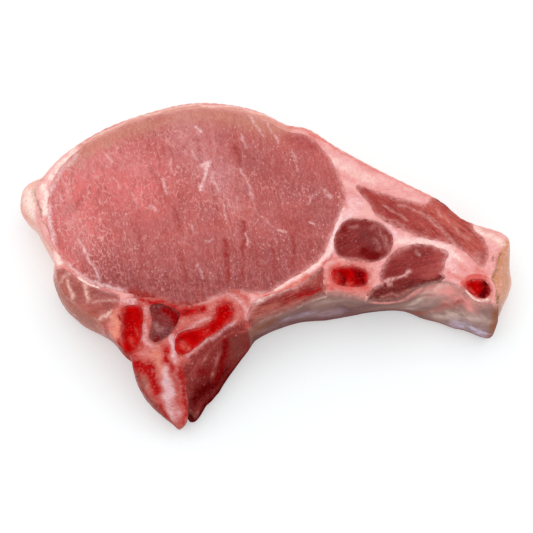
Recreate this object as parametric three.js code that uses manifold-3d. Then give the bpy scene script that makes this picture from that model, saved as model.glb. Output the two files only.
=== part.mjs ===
// Raw bone-in pork rib chop, lying flat on one of its two cut faces.
//
// Millimetres, +Z up. The lower cut face is at z = 0 and the upper one near THICKNESS. X runs
// along the chop, from the chine on the left to the rib tip on the right. The fat back is on the
// +Y side, and the backbone and the inside of the ribs are on the -Y side. Every muscle, bone and
// marrow is a piece of its own that runs through the whole thickness.
import * as THREE from 'three';
import { mergeVertices } from 'three/addons/utils/BufferGeometryUtils.js';
import Module from 'manifold-3d';

const wasm = await Module();
wasm.setup();

// Driving dimensions.
const THICKNESS = 24; // the slice, cut face to cut face
const GAP = 0.3; // clearance between neighbouring pieces
const EDGE_STEP = 3.2; // spacing of the facets round the outside
const PIECE_STEP = 2.4; // spacing of the facets round each muscle and bone
const GRID_STEP = 3; // spacing of the facets on the upper cut face
const SIDE_SWELL = 1.2; // how far the sides swell out halfway down
const UPPER_ROUND = 0.9; // how far the upper rim is rounded in
const LOWER_ROUND = 1.0; // how far the lower rim is rounded in
const CUTTER_REACH = 40; // cutters run this far above and below the slice

// Relief of the upper cut face.
const EYE_CENTRE = new THREE.Vector2(-23, 17);
const EYE_HALF_SIZE = new THREE.Vector2(50, 34);
const EYE_CROWN = 1.0; // the eye of the loin bulges this far in the middle
const WAVE_HEIGHT = 0.22; // gentle unevenness left by the knife
const WAVE_LENGTH = 7.5;
const WAVE_SKEW = 31; // larger skews the waves less
const FACE_BLOCK_SIZE = new THREE.Vector2(180, 126); // room for the whole chop
const PIECE_CROWN_RUN = 2.2; // distance over which a piece rises from its own rim
const FACE_TOLERANCE = 0.15; // corners this close to the face belong to it

// The backbone's spine slopes down to its tip, below this line in y.
const SPINE_TOP = -36;
const SPINE_SLOPE = 1.06;

// Outer edge of the chop, clockwise from above, starting at the left end. Each row is the upper
// rim [x, y], followed by the point on the floor below it where the side isn't upright.
const FAT_BACK = [
  [-75, 25], [-71, 31.5], [-64, 38], [-52, 45.5], [-38, 50.7], [-24.5, 53.8], [-12.5, 53.4],
  [-2, 50.8], [7.5, 46], [14.5, 44.5], [23.5, 38.5], [38.5, 29.8], [50, 23.7], [58.5, 19],
  [65, 13.2], [70, 10.8], [79, 7.6],
];
const RIB_END = [
  [80.8, 5.2], [79.8, 1.5, 81.6, 1.2], [78, -3, 82.2, -1], [77, -7, 82.8, -5],
  [77.2, -11, 81.6, -8.5], [76.6, -15, 78.8, -13], [75.6, -17, 75.2, -21.6],
];
const RIB_SIDE = [
  [72.5, -17, 73.5, -22], [68.8, -16.3, 70, -20.5], [63, -11, 64.5, -19],
  [57.5, -9.6, 59.5, -16.8], [51, -11.2, 53.5, -15], [44.5, -15.4, 46.5, -12.5],
  [36, -16, 37, -13], [27, -14, 28.5, -14.3], [20, -13.8, 21, -15.4],
  [10, -18, 10.5, -16.8], [-2.5, -23.2, -3.2, -23],
];
const FLANK_SIDE = [
  [-6, -26, -6, -27.3], [-13.4, -28.6, -11, -33], [-18.8, -33.4, -16.2, -40.5],
  [-23.5, -38.2, -21.7, -47.2], [-25.8, -43, -24.2, -51],
];
const SPINE_TIP = [
  [-28, -50.5, -27.6, -53.6], [-33, -48, -33, -50], [-39.4, -42.6, -39, -43.6],
  [-42.6, -37.4, -41.4, -37], [-43.6, -33.4, -42.4, -32.4], [-46.6, -31, -45.2, -29.6],
  [-50.4, -26.4, -49.4, -25],
];
const CHINE_SIDE = [
  [-54.4, -21.4, -54, -22], [-61, -16.2, -61.6, -17.6], [-66.2, -11, -67.4, -11.6],
  [-68.4, -4.5, -69.8, -4.6], [-69.6, 1], [-73.6, 8.2], [-76, 14], [-75.6, 19.5],
];
const OUTER_EDGE = [FAT_BACK, RIB_END, RIB_SIDE, FLANK_SIDE, SPINE_TIP, CHINE_SIDE].flat();

// Inner line of the skins that cover the -Y side. The meat and bones stop at this line, which
// closes in a wide sweep round the outside of the fat back. Rows as for the outer edge.
const SKIN_LINE = [
  [76, -16.2], [74, -16.2], [69, -15.4], [63, -10], [57.5, -8.6], [51, -10.2],
  [44.5, -14.3, 45.5, -11], [36, -15, 36.5, -11.8], [27, -13, 28, -12.8], [20, -12.6],
  [10, -17, 10, -15.4], [-3, -22.4, -3, -21.8], [-5.4, -25], [-12.6, -26.8], [-18, -31.6],
  [-23, -36.6], [-26.2, -41], [-26.6, -46], [-27.6, -54], [-40, -70], [-100, -60],
  [-110, 20], [-60, 80], [40, 80], [110, 40], [95, -16],
];

// A thick fold of fat bulges out of the side at the left end, below the upper rim.
const FOLD_BULGE = 6.2;
const FOLD_CENTRE = new THREE.Vector3(-75.6, 21, 12);
const FOLD_HALF_WIDTH = 6.4;
const FOLD_HALF_HEIGHT = 9;

// The pieces of the cut face. Where two outlines cross, the earlier piece keeps the room. sink
// lowers the whole upper face of a piece, and crown raises it inside its rim.
const PIECES = [
  {
    name: 'marrow_chine',
    outline: [
      [-45, -17.8], [-42.4, -16.8], [-40, -18.6], [-39.6, -23], [-40.4, -29.6], [-42.6, -32.4],
      [-44.6, -30], [-45.6, -22],
    ],
    sink: 0.7, crown: 0.4, colour: 0xc01014, roughness: 0.35,
  },
  {
    name: 'canal_tissue',
    outline: [
      [-37.4, -17.4], [-34.6, -16.2], [-31, -17.2], [-27.8, -19.6], [-29, -23.6], [-32, -27.8],
      [-35, -29.4], [-37.2, -28], [-36.6, -22],
    ],
    sink: 2.4, crown: 0.8, colour: 0x74383c, roughness: 0.4,
  },
  {
    name: 'marrow_arch',
    outline: [[-27, -20.8], [-24, -20], [-21, -18.2], [-23.5, -17.6], [-26.6, -19]],
    sink: 0.5, crown: 0.3, colour: 0xb02020, roughness: 0.35,
  },
  {
    name: 'marrow_arm',
    outline: [
      [-29, -30.5], [-27.8, -26.4], [-21, -24.4], [-17, -22], [-15.4, -17.2], [-12.6, -16.4],
      [-11.2, -20], [-14.4, -24.6], [-20, -29.4], [-25.5, -33.4], [-28.2, -33],
    ],
    sink: 0.7, crown: 0.4, colour: 0xb4120f, roughness: 0.35,
  },
  {
    name: 'backbone',
    outline: [
      [-51, -22], [-49.4, -18.4], [-46, -15.2], [-41, -14.4], [-34.5, -14.6], [-29, -17],
      [-22, -16.5], [-16, -14.4], [-9.5, -12.2], [-5.4, -13], [-4.6, -17], [-6.4, -21],
      [-3, -27], [-16, -70], [-60, -70], [-56, -30],
    ],
    sink: 0, crown: 0.4, colour: 0xdf9088, roughness: 0.45,
  },
  {
    name: 'marrow_rib',
    outline: [
      [22.6, -5], [26, -4], [31, -4.1], [34, -6], [32.5, -10], [28, -10.4], [23.2, -9],
    ],
    sink: 0.7, crown: 0.4, colour: 0xac1416, roughness: 0.35,
  },
  {
    name: 'rib_bone',
    outline: [
      [19.8, -4.4], [23.4, -2], [30, -1.8], [35.4, -3], [36.8, -7], [35, -12], [30, -17],
      [22, -16], [19.2, -9],
    ],
    sink: 0, crown: 0.5, colour: 0xdc8f89, roughness: 0.45,
  },
  {
    name: 'marrow_tip',
    outline: [
      [66, -9.6], [68.4, -8], [71.6, -8.4], [73.6, -10.8], [73.4, -13.2], [71.4, -14.4],
      [68.6, -13.6], [66.6, -11.6],
    ],
    sink: 0.9, crown: 0.3, colour: 0xa0191c, roughness: 0.35,
  },
  {
    name: 'rib_tip',
    outline: [
      [64.2, -9], [67.4, -6.4], [72, -6.6], [75.2, -9.6], [75.4, -14], [72, -19], [66, -17],
    ],
    sink: 0, crown: 0.3, colour: 0xe0a9a3, roughness: 0.45,
  },
  {
    name: 'chine_muscle',
    outline: [
      [-72, -3], [-68.5, -4.6], [-65.6, -4.8], [-62.4, -7], [-58, -10], [-52, -11.8],
      [-47.6, -13.6], [-47.8, -17], [-50.4, -20], [-50, -28], [-66, -26], [-78, -10],
    ],
    sink: 0.2, crown: 0.7, colour: 0xb05f5a, roughness: 0.4,
  },
  {
    name: 'round_muscle',
    outline: [
      [27.4, 12.6], [33, 12.6], [38.4, 11.3], [42.2, 6.8], [41.2, 1], [36, -2.4], [29.5, -2],
      [24.2, 0], [22.7, 5], [24.6, 10],
    ],
    sink: 0, crown: 0.9, colour: 0x8c3b37, roughness: 0.35,
  },
  {
    name: 'oval_muscle',
    outline: [
      [37.8, -6.6], [39.8, -2], [43.4, 1.8], [48.5, 4], [55, 3.6], [60.3, 1.4], [59.5, -2.2],
      [57.8, -6.6], [53.6, -8.4], [48, -8], [43, -9.4], [38.8, -9.3],
    ],
    sink: 0, crown: 0.6, colour: 0x963f3f, roughness: 0.35,
  },
  {
    name: 'lower_strip',
    outline: [
      [34.4, -11.6], [38, -10], [44, -9], [50, -7.6], [56, -6.4], [59, -7.4], [55, -10.4],
      [50, -13], [45, -18], [37, -19], [34, -15],
    ],
    sink: 0.4, crown: 0.3, colour: 0x9c4a49, roughness: 0.35,
  },
  {
    name: 'belly_strip',
    outline: [
      [30.6, 24.2], [37, 22.2], [46, 19.4], [53.5, 18], [58, 21], [68, 13.5], [69.5, 9],
      [73, 4.4], [73.4, -1], [71.4, -3.8], [66, 1.2], [60.5, 4.6], [52, 6.2], [45, 9.2],
      [38.4, 12.6], [35.2, 17],
    ],
    sink: 0, crown: 0.6, colour: 0xb15450, roughness: 0.38,
  },
  {
    name: 'rib_meat',
    outline: [
      [-5.4, -20], [-4, -16], [4.5, -12.4], [11, -10], [19, -4.2], [20, -12], [18, -19],
      [0, -27], [-6, -27],
    ],
    sink: 0.3, crown: 0.4, colour: 0xa84441, roughness: 0.38,
  },
  {
    name: 'loin_eye',
    outline: [
      [-71.8, 18.5], [-70.8, 25.5], [-67.8, 31.4], [-61, 37.8], [-49, 44.6], [-36, 49.4],
      [-22.5, 51.6], [-9, 50.6], [1, 47], [8, 43.2], [13.4, 42.2], [20, 36.4], [25, 27.4],
      [27, 19.5], [24, 12], [21, 4], [18.4, -0.8], [13, -5.4], [6, -9.6], [0.6, -12.6],
      [-10, -12], [-22, -15], [-34, -14], [-45, -12.4], [-53, -11.2], [-60, -7.6],
      [-65, -3.4], [-69, 2.4], [-71.6, 10],
    ],
    sink: 0, crown: 0.5, colour: 0xc16e6b, roughness: 0.42,
  },
];

// The skins over the -Y side: dark flank meat beside the spine, and the membrane inside the ribs.
const SKINS = [
  {
    name: 'flank_meat',
    outline: [[-6, -22], [-5.6, -29], [-8, -45], [-20, -60], [-27.2, -60], [-27.2, -46], [-20, -30]],
    sink: 0.4, crown: 0, colour: 0x70291f, roughness: 0.35,
  },
  {
    name: 'inner_membrane',
    outline: [[-7, -20], [-8, -34], [20, -34], [76, -30], [90, -20], [77, -14], [60, 0], [10, -8]],
    sink: 0.4, crown: 0, colour: 0xa8868a, roughness: 0.35,
  },
];

/** Upper and lower points of a closed smooth curve through rows of control points, counterclockwise. */
function traceEdge(rows, facet) {
  const upper = rows.map(([x, y]) => new THREE.Vector3(x, y, 0));
  const lower = rows.map(([x, y, footX = x, footY = y]) => new THREE.Vector3(footX, footY, 0));
  const upperCurve = new THREE.CatmullRomCurve3(upper, true);
  const lowerCurve = new THREE.CatmullRomCurve3(lower, true);
  const points = [];
  for (let i = 0; i < rows.length; i += 1) {
    const span = upper[i].distanceTo(upper[(i + 1) % rows.length]);
    const steps = Math.max(1, Math.round(span / facet));
    for (let step = 0; step < steps; step += 1) {
      const along = (i + step / steps) / rows.length;
      points.push({ upper: upperCurve.getPoint(along), lower: lowerCurve.getPoint(along) });
    }
  }
  return THREE.ShapeUtils.area(points.map((point) => point.upper)) < 0 ? points.reverse() : points;
}

/** Moves a counterclockwise loop outwards by a distance, or inwards by a negative one. */
function grow(loop, distance) {
  const distanceAt = typeof distance === 'function' ? distance : () => distance;
  return loop.map((point, i) => {
    const before = loop[(i + loop.length - 1) % loop.length];
    const after = loop[(i + 1) % loop.length];
    const outward = new THREE.Vector3(after.y - before.y, before.x - after.x, 0).normalize();
    return point.clone().addScaledVector(outward, distanceAt(point));
  });
}

/** Turns a closed geometry into a solid that can be cut and joined. */
function toSolid(geometry) {
  const bare = geometry.clone();
  bare.deleteAttribute('normal');
  bare.deleteAttribute('uv');
  const merged = mergeVertices(bare, 1e-4);
  return new wasm.Manifold(new wasm.Mesh({
    numProp: 3,
    vertProperties: new Float32Array(merged.attributes.position.array),
    triVerts: new Uint32Array(merged.index.array),
  }));
}

/** Turns a solid back into a geometry. */
function toGeometry(solid) {
  const mesh = solid.getMesh();
  const geometry = new THREE.BufferGeometry();
  geometry.setAttribute('position', new THREE.BufferAttribute(new Float32Array(mesh.vertProperties), 3));
  geometry.setIndex(new THREE.BufferAttribute(new Uint32Array(mesh.triVerts), 1));
  return geometry;
}

/** Upright cutter with a closed outline. */
function cutter(loop) {
  const shape = new THREE.Shape(loop.map((point) => new THREE.Vector2(point.x, point.y)));
  const geometry = new THREE.ExtrudeGeometry(shape, { depth: 2 * CUTTER_REACH, bevelEnabled: false });
  geometry.translate(0, 0, -CUTTER_REACH);
  return toSolid(geometry);
}

/** Closed body through loops of equal length, stacked from the lowest to the highest. */
function stackLoops(loops) {
  const count = loops[0].length;
  const positions = loops.flat().flatMap((point) => [point.x, point.y, point.z]);
  const index = [];
  for (let level = 0; level + 1 < loops.length; level += 1) {
    for (let i = 0; i < count; i += 1) {
      const next = (i + 1) % count;
      const [a, b] = [level * count + i, level * count + next];
      index.push(a, b, b + count, a, b + count, a + count);
    }
  }
  const top = (loops.length - 1) * count;
  for (const [a, b, c] of THREE.ShapeUtils.triangulateShape(loops[0], [])) {
    index.push(a, c, b);
  }
  for (const [a, b, c] of THREE.ShapeUtils.triangulateShape(loops.at(-1), [])) {
    index.push(top + a, top + b, top + c);
  }
  const geometry = new THREE.BufferGeometry();
  geometry.setAttribute('position', new THREE.Float32BufferAttribute(positions, 3));
  geometry.setIndex(index);
  return toSolid(geometry);
}

/** Share of the way from the upper rim to the floor point that a side has gone at a height. */
function sideShare(z) {
  const height = THREE.MathUtils.clamp(z / THICKNESS, 0, 1);
  return 1 - height * height;
}

/** Loop of an edge at a height, moved outwards by a distance. */
function edgeLoop(edge, z, distance) {
  const loop = edge.map(({ upper, lower }) => upper.clone().lerp(lower, sideShare(z)));
  return grow(loop, distance).map((point) => point.setZ(z));
}

/** Bulge of the fat fold at a point of the side: full in the middle, steep at its ends. */
function foldBulge(point, z) {
  const across = FOLD_CENTRE.distanceTo(new THREE.Vector3(point.x, point.y, FOLD_CENTRE.z));
  const up = (z - FOLD_CENTRE.z) / FOLD_HALF_HEIGHT;
  return FOLD_BULGE * Math.exp(-((across / FOLD_HALF_WIDTH) ** 4) - up ** 4);
}

/** The whole chop up to a flat top above its upper face, with swollen sides and rounded rims. */
function chopBody() {
  const edge = traceEdge(OUTER_EDGE, EDGE_STEP);
  const levels = [
    [0, -LOWER_ROUND], [1.5, -0.2], [4.5, 0], [8, 0], [12, 0], [16, 0], [19, 0], [22, -0.2],
    [THICKNESS - 0.5, -0.5], [THICKNESS + 0.4, -UPPER_ROUND], [THICKNESS + 4, -2 * UPPER_ROUND],
  ];
  return stackLoops(levels.map(([z, rounding]) => {
    const swell = SIDE_SWELL * Math.sin(Math.PI * Math.min(1, z / THICKNESS));
    return edgeLoop(edge, z, (point) => swell + rounding + foldBulge(point, z));
  }));
}

/** Everything on the meat side of the skins, grown by a distance. */
function skinCutter(distance) {
  const line = traceEdge(SKIN_LINE, EDGE_STEP);
  const levels = [-CUTTER_REACH, 0, 6, 12, 18, THICKNESS, CUTTER_REACH];
  return stackLoops(levels.map((z) => {
    const loop = edgeLoop(line, THREE.MathUtils.clamp(z, 0, THICKNESS), distance);
    return loop.map((point) => point.setZ(z));
  }));
}

/** Height of the upper cut face. */
function faceHeight(x, y) {
  const fromEye = ((x - EYE_CENTRE.x) / EYE_HALF_SIZE.x) ** 2 + ((y - EYE_CENTRE.y) / EYE_HALF_SIZE.y) ** 2;
  const crown = EYE_CROWN * Math.max(0, 1 - fromEye);
  const waves = Math.sin(x / WAVE_LENGTH) * Math.cos(y / WAVE_LENGTH + x / WAVE_SKEW);
  return THICKNESS + crown + WAVE_HEIGHT * waves - SPINE_SLOPE * Math.max(0, SPINE_TOP - y);
}

/** Block whose top is the upper cut face, lowered by a distance. */
function faceBlock(sink) {
  const { x: length, y: width } = FACE_BLOCK_SIZE;
  const geometry = new THREE.BoxGeometry(length, width, 1, length / GRID_STEP, width / GRID_STEP, 1);
  const position = geometry.attributes.position;
  for (let i = 0; i < position.count; i += 1) {
    const upper = position.getZ(i) > 0;
    position.setZ(i, upper ? faceHeight(position.getX(i), position.getY(i)) - sink : -CUTTER_REACH);
  }
  return toSolid(geometry);
}

/** Distance from a point to a closed loop. */
function distanceToLoop(x, y, loop) {
  const point = new THREE.Vector3(x, y, 0);
  const nearest = new THREE.Vector3();
  const side = new THREE.Line3();
  let least = Infinity;
  loop.forEach((corner, i) => {
    side.set(corner, loop[(i + 1) % loop.length]).closestPointToPoint(point, true, nearest);
    least = Math.min(least, nearest.distanceTo(point));
  });
  return least;
}

/** Raises the upper face of a piece inside its rim, so that it stands proud like a soft cushion. */
function raiseFace(geometry, loop, sink, crown) {
  const position = geometry.attributes.position;
  for (let i = 0; i < position.count; i += 1) {
    const [x, y, z] = [position.getX(i), position.getY(i), position.getZ(i)];
    if (Math.abs(z - faceHeight(x, y) + sink) < FACE_TOLERANCE) {
      const rise = 1 - Math.exp(-distanceToLoop(x, y, loop) / PIECE_CROWN_RUN);
      position.setZ(i, z + crown * rise);
    }
  }
  return geometry;
}

/** The largest separate body of a solid, without the crumbs that cutting leaves. */
function largestBody(solid) {
  const bodies = solid.decompose();
  return bodies.reduce((best, body) => (body.volume() > best.volume() ? body : best));
}

/** Named mesh with its own material. */
function makeMesh(name, geometry, colour, roughness) {
  const material = new THREE.MeshStandardMaterial({ color: colour, roughness, metalness: 0 });
  const mesh = new THREE.Mesh(geometry, material);
  mesh.name = name;
  return mesh;
}

/** Cuts pieces out of a room in turn, adds their meshes to a group, and returns what room is left. */
function cutPieces(group, room, pieces) {
  let rest = room;
  for (const { name, outline, sink, crown, colour, roughness } of pieces) {
    const loop = traceEdge(outline, PIECE_STEP).map((point) => point.upper);
    const cut = rest.intersect(cutter(grow(loop, -GAP / 2))).intersect(faceBlock(sink));
    const geometry = raiseFace(toGeometry(largestBody(cut)), loop, sink, crown);
    group.add(makeMesh(name, geometry, colour, roughness));
    rest = rest.subtract(cutter(grow(loop, GAP / 2)));
  }
  return rest;
}

const chop = new THREE.Group();
const body = chopBody();
const inside = body.intersect(skinCutter(-GAP / 2)).intersect(faceBlock(0));
const outside = body.subtract(skinCutter(GAP / 2)).intersect(faceBlock(0));

// The fat fills the room between the muscles and bones, out to the fold at the left end.
const fat = largestBody(cutPieces(chop, inside, PIECES));
chop.add(makeMesh('fat_cap', toGeometry(fat), 0xf0bcb4, 0.45));
cutPieces(chop, outside, SKINS);

export default chop;
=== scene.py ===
"""A raw bone-in pork rib chop lying on one cut face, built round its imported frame."""

import logging
import math
from dataclasses import dataclass, field, replace
from enum import Enum
from functools import cached_property
from typing import ClassVar

import bpy
import numpy as np
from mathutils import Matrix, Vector, kdtree
from mathutils.geometry import delaunay_2d_cdt


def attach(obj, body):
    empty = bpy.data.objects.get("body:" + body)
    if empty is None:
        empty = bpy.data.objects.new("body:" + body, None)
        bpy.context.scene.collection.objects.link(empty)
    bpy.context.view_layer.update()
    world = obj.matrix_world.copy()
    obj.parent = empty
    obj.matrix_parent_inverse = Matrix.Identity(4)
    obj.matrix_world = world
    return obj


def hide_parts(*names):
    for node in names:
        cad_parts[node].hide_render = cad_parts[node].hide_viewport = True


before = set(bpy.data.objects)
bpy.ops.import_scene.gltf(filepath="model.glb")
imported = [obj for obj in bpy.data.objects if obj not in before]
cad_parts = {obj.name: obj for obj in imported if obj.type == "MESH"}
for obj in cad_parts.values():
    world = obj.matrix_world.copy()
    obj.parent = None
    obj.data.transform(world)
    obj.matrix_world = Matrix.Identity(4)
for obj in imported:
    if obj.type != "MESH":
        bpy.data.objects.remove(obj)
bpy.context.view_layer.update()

MM = 0.001
BESIDE = "beside"
LOG = logging.getLogger("pork_chop")

Rows = tuple[tuple[float, ...], ...]
Colour = tuple[int, int, int]
Socket = bpy.types.NodeSocket
Value = Socket | float | tuple[float, ...]


class Paint(Enum):
    """The painted layers that a piece can carry; each is one value at every mesh point."""

    PALE = "pale"
    DEEP = "deep"
    WARM = "warm"
    COOL = "cool"
    VEIL = "veil"
    HAZE = "haze"
    STAIN = "stain"
    MESH = "mesh"
    BORDER = "border"
    SIDE = "side"


def outward_of(loop: np.ndarray) -> np.ndarray:
    """Finds the way out of a counter-clockwise loop.

    Args:
        loop: the loop's points, one row each.

    Returns:
        A direction of length one for each point.
    """
    along = np.roll(loop, -1, 0) - np.roll(loop, 1, 0)
    along /= np.linalg.norm(along, axis=1)[:, None]
    return np.stack([along[:, 1], -along[:, 0]], 1)


def laid_flat(plan: np.ndarray) -> np.ndarray:
    """Puts plan points into space at height 0."""
    return np.column_stack([plan, np.zeros(len(plan))])


def twice_area(a: np.ndarray, b: np.ndarray, c: np.ndarray) -> np.ndarray:
    """Doubles the area of triangles; it is negative for clockwise ones."""
    return (b[..., 0] - a[..., 0]) * (c[..., 1] - a[..., 1]) - (b[..., 1] - a[..., 1]) * (c[..., 0] - a[..., 0])


@dataclass(frozen=True)
class Outline:
    """A closed smooth line through a few points, with each point's place at the foot of the slice."""

    WAVER_SIZE = 2.4
    WAVER_SEED = 17
    CHUNK = 4000

    rows: Rows
    waver: float = 0.0

    @staticmethod
    def _smooth(points: np.ndarray, counts: list[int]) -> np.ndarray:
        """Runs a closed centripetal spline through the points.

        Args:
            points: the line's own points, one row each.
            counts: how many steps follow each point.

        Returns:
            The points of the smooth line, one row each.
        """
        total = len(points)
        traced = []
        for i, count in enumerate(counts):
            a, b, c, d = (points[(i + k) % total] for k in (-1, 0, 1, 2))
            ab, bc, cd = (max(1e-4, math.dist(p, q)) ** 0.5 for p, q in ((a, b), (b, c), (c, d)))
            start = ((b - a) / ab - (c - a) / (ab + bc) + (c - b) / bc) * bc
            end = ((c - b) / bc - (d - b) / (bc + cd) + (d - c) / cd) * bc
            t = (np.arange(count) / count)[:, None]
            traced.append(b + start * t + (3 * (c - b) - 2 * start - end) * t**2 + (2 * (b - c) + start + end) * t**3)
        return np.concatenate(traced)

    def trace(self, step: float) -> tuple[np.ndarray, np.ndarray]:
        """Follows the line.

        Args:
            step: rough spacing of the traced points, in millimetres.

        Returns:
            The line at the upper cut face and at the foot, counter-clockwise.
        """
        upper = np.array([row[:2] for row in self.rows], float)
        foot = np.array([row[2:4] if len(row) == 4 else row[:2] for row in self.rows], float)
        spans = np.linalg.norm(np.roll(upper, -1, 0) - upper, axis=1)
        counts = [max(1, round(span / step)) for span in spans]
        top, low = self._smooth(upper, counts), self._smooth(foot, counts)
        after = np.roll(top, -1, 0)
        area = np.sum(top[:, 0] * after[:, 1] - top[:, 1] * after[:, 0])
        if self.waver:
            stray = self.waver * Grain.waves(laid_flat(top), self.WAVER_SIZE, self.WAVER_SEED)
            top = top + stray[:, None] * outward_of(top)
        return (top, low) if area > 0 else (top[::-1], low[::-1])

    def holds(self, points: np.ndarray, step: float) -> np.ndarray:
        """Tells which points lie inside the line.

        Args:
            points: plan points, one row each.
            step: spacing used to trace the line.

        Returns:
            True for each point inside.
        """
        loop, _ = self.trace(step)
        inside = np.zeros(len(points), bool)
        near = np.all((points > loop.min(0)) & (points < loop.max(0)), axis=1).nonzero()[0]
        for chunk in np.array_split(near, max(1, len(near) // self.CHUNK)):
            x, y = points[chunk, 0][:, None], points[chunk, 1][:, None]
            ax, ay = loop.T
            bx, by = np.roll(loop, -1, 0).T
            spans = (ay > y) != (by > y)
            run = np.where(by == ay, 1.0, by - ay)
            inside[chunk] = (np.sum(spans & (x < ax + (y - ay) * (bx - ax) / run), axis=1) % 2) == 1
        return inside


@dataclass(frozen=True)
class Strand:
    """A vein, seam, groove or patch painted along a line; points with a height lie on the sides."""

    points: Rows
    width: float
    strength: float
    height: float = 0.0

    @property
    def on_side(self) -> bool:
        """Tells whether the strand lies on the sides of the slice."""
        return len(self.points[0]) == 3

    def cover(self, points: np.ndarray) -> np.ndarray:
        """Measures how much of the strand covers each point.

        Args:
            points: places in plan, or in space for a strand on the sides.

        Returns:
            One share from 0 to 1 for each point.
        """
        line = np.array(self.points, float)
        best = np.full(len(points), np.inf)
        for a, b in zip(line[:-1], line[1:]) if len(line) > 1 else ((line[0], line[0] + 1e-3),):
            run = b - a
            along = np.clip((points - a) @ run / (run @ run), 0, 1)[:, None]
            best = np.minimum(best, np.linalg.norm(points - a - along * run, axis=1))
        return np.exp(-((best / self.width) ** 2))


Marks = dict[Paint, tuple[Strand, ...]]


class Grain:
    """Seeded smooth unevenness."""

    SEED = 41
    CELL_STIR = (374761393, 668265263, 1103515245)
    SEED_STIR = 97463477
    LAST_STIR = 1274126177

    @classmethod
    def _corner(cls, cell: np.ndarray, seed: int) -> np.ndarray:
        """Gives each cell corner a value of its own.

        Args:
            cell: whole-number places, one row each.
            seed: picks another pattern.

        Returns:
            One value between -1 and 1 for each corner.
        """
        mixed = cell @ np.array(cls.CELL_STIR) + (seed + cls.SEED) * cls.SEED_STIR
        mixed = ((mixed ^ (mixed >> 13)) & 0x7FFFFFFF) * cls.LAST_STIR
        return (((mixed ^ (mixed >> 16)) & 0xFFFF) / 32767.5) - 1

    @classmethod
    def waves(cls, points: np.ndarray, size: float | tuple[float, ...], seed: int = 0,
              octaves: int = 2) -> np.ndarray:
        """Sums layers of smooth noise.

        Args:
            points: places in space, one row each.
            size: width of the largest lumps, in millimetres, or one width for each axis.
            seed: picks another pattern.
            octaves: how many finer layers are added.

        Returns:
            One value for each point, roughly between -1 and 1.
        """
        total = np.zeros(len(points))
        share = 0.0
        for octave in range(octaves):
            place = points / np.asarray(size, float) * 2**octave
            cell = np.floor(place).astype(np.int64)
            part = place - cell
            ease = part * part * (3 - 2 * part)
            layer = np.zeros(len(points))
            for corner in np.ndindex(2, 2, 2):
                step = np.array(corner)
                weight = np.prod(np.where(step, ease, 1 - ease), axis=1)
                layer += weight * cls._corner(cell + step, seed + octave)
            total += layer * 0.5**octave
            share += 0.5**octave
        return total / share


def smooth_step(value: np.ndarray, low: float, high: float) -> np.ndarray:
    """Eases from 0 at low to 1 at high."""
    t = np.clip((value - low) / (high - low), 0, 1)
    return t * t * (3 - 2 * t)


def nearest(points: np.ndarray, samples: np.ndarray) -> tuple[np.ndarray, np.ndarray]:
    """Finds the closest sample to each point.

    Args:
        points: plan points, one row each.
        samples: plan points to look among.

    Returns:
        The distance to the closest sample and its row.
    """
    tree = kdtree.KDTree(len(samples))
    for i, (x, y) in enumerate(samples):
        tree.insert((x, y, 0), i)
    tree.balance()
    found = [tree.find((x, y, 0)) for x, y in points]
    return np.array([f[2] for f in found]), np.array([f[1] for f in found])


@dataclass(frozen=True)
class Folds:
    """Relief of the outer side: broad wrinkles, rougher stretches and single creases."""

    wrinkle: float = 0.14
    size: tuple[float, float, float] = (6.0, 6.0, 4.5)
    rough: tuple[Strand, ...] = (
        Strand(((-72, -2, 12), (-66, -14, 12), (-56, -22, 12), (-48, -30, 12)), 8.0, 0.34),
        Strand(((-42, -38, 10), (-34, -50, 8), (-26, -54, 8)), 7.0, 0.3),
        Strand(((-20, -44, 8), (-12, -32, 10)), 6.0, 0.2),
        Strand(((-78, 24, 14), (-77, 14, 12)), 7.0, 0.16),
    )
    creases: tuple[Strand, ...] = (
        Strand(((-12.4, -27.9, 23.6), (-13.5, -31.7, 18.4), (-15.2, -35.4, 15.0),
                (-16.4, -38.4, 13.4)), 1.6, 1.0, -0.8),
        Strand(((-24.0, -50.0, 9.5), (-23.0, -49.0, 7.0)), 1.8, 1.0, 0.5),
        Strand(((51.6, -14.7, 7.0), (55.4, -15.0, 11.5), (59.0, -14.8, 14.5), (65.1, -14.5, 19.9)), 1.6, 1.0, -0.8),
        Strand(((23.4, -14.9, 18.5), (26.6, -15.5, 13.5), (29.6, -15.0, 6.5)), 1.6, 1.0, -0.6),
        Strand(((-77.6, 24.2, 20.5), (-77.0, 21.8, 22.0), (-76.2, 18.6, 22.4), (-75.4, 14.5, 22.4)), 0.9, 1.0, -0.9),
    )
    seed: int = 3

    def relief(self, space: np.ndarray) -> np.ndarray:
        """Gives how far each point of the side stands out.

        Args:
            space: places in space, one row each.

        Returns:
            One distance for each point, in millimetres.
        """
        depth = self.wrinkle + sum(area.strength * area.cover(space) for area in self.rough)
        out = depth * Grain.waves(space, self.size, self.seed, 3)
        for crease in self.creases:
            out += crease.height * crease.strength * crease.cover(space)
        return out


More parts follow.
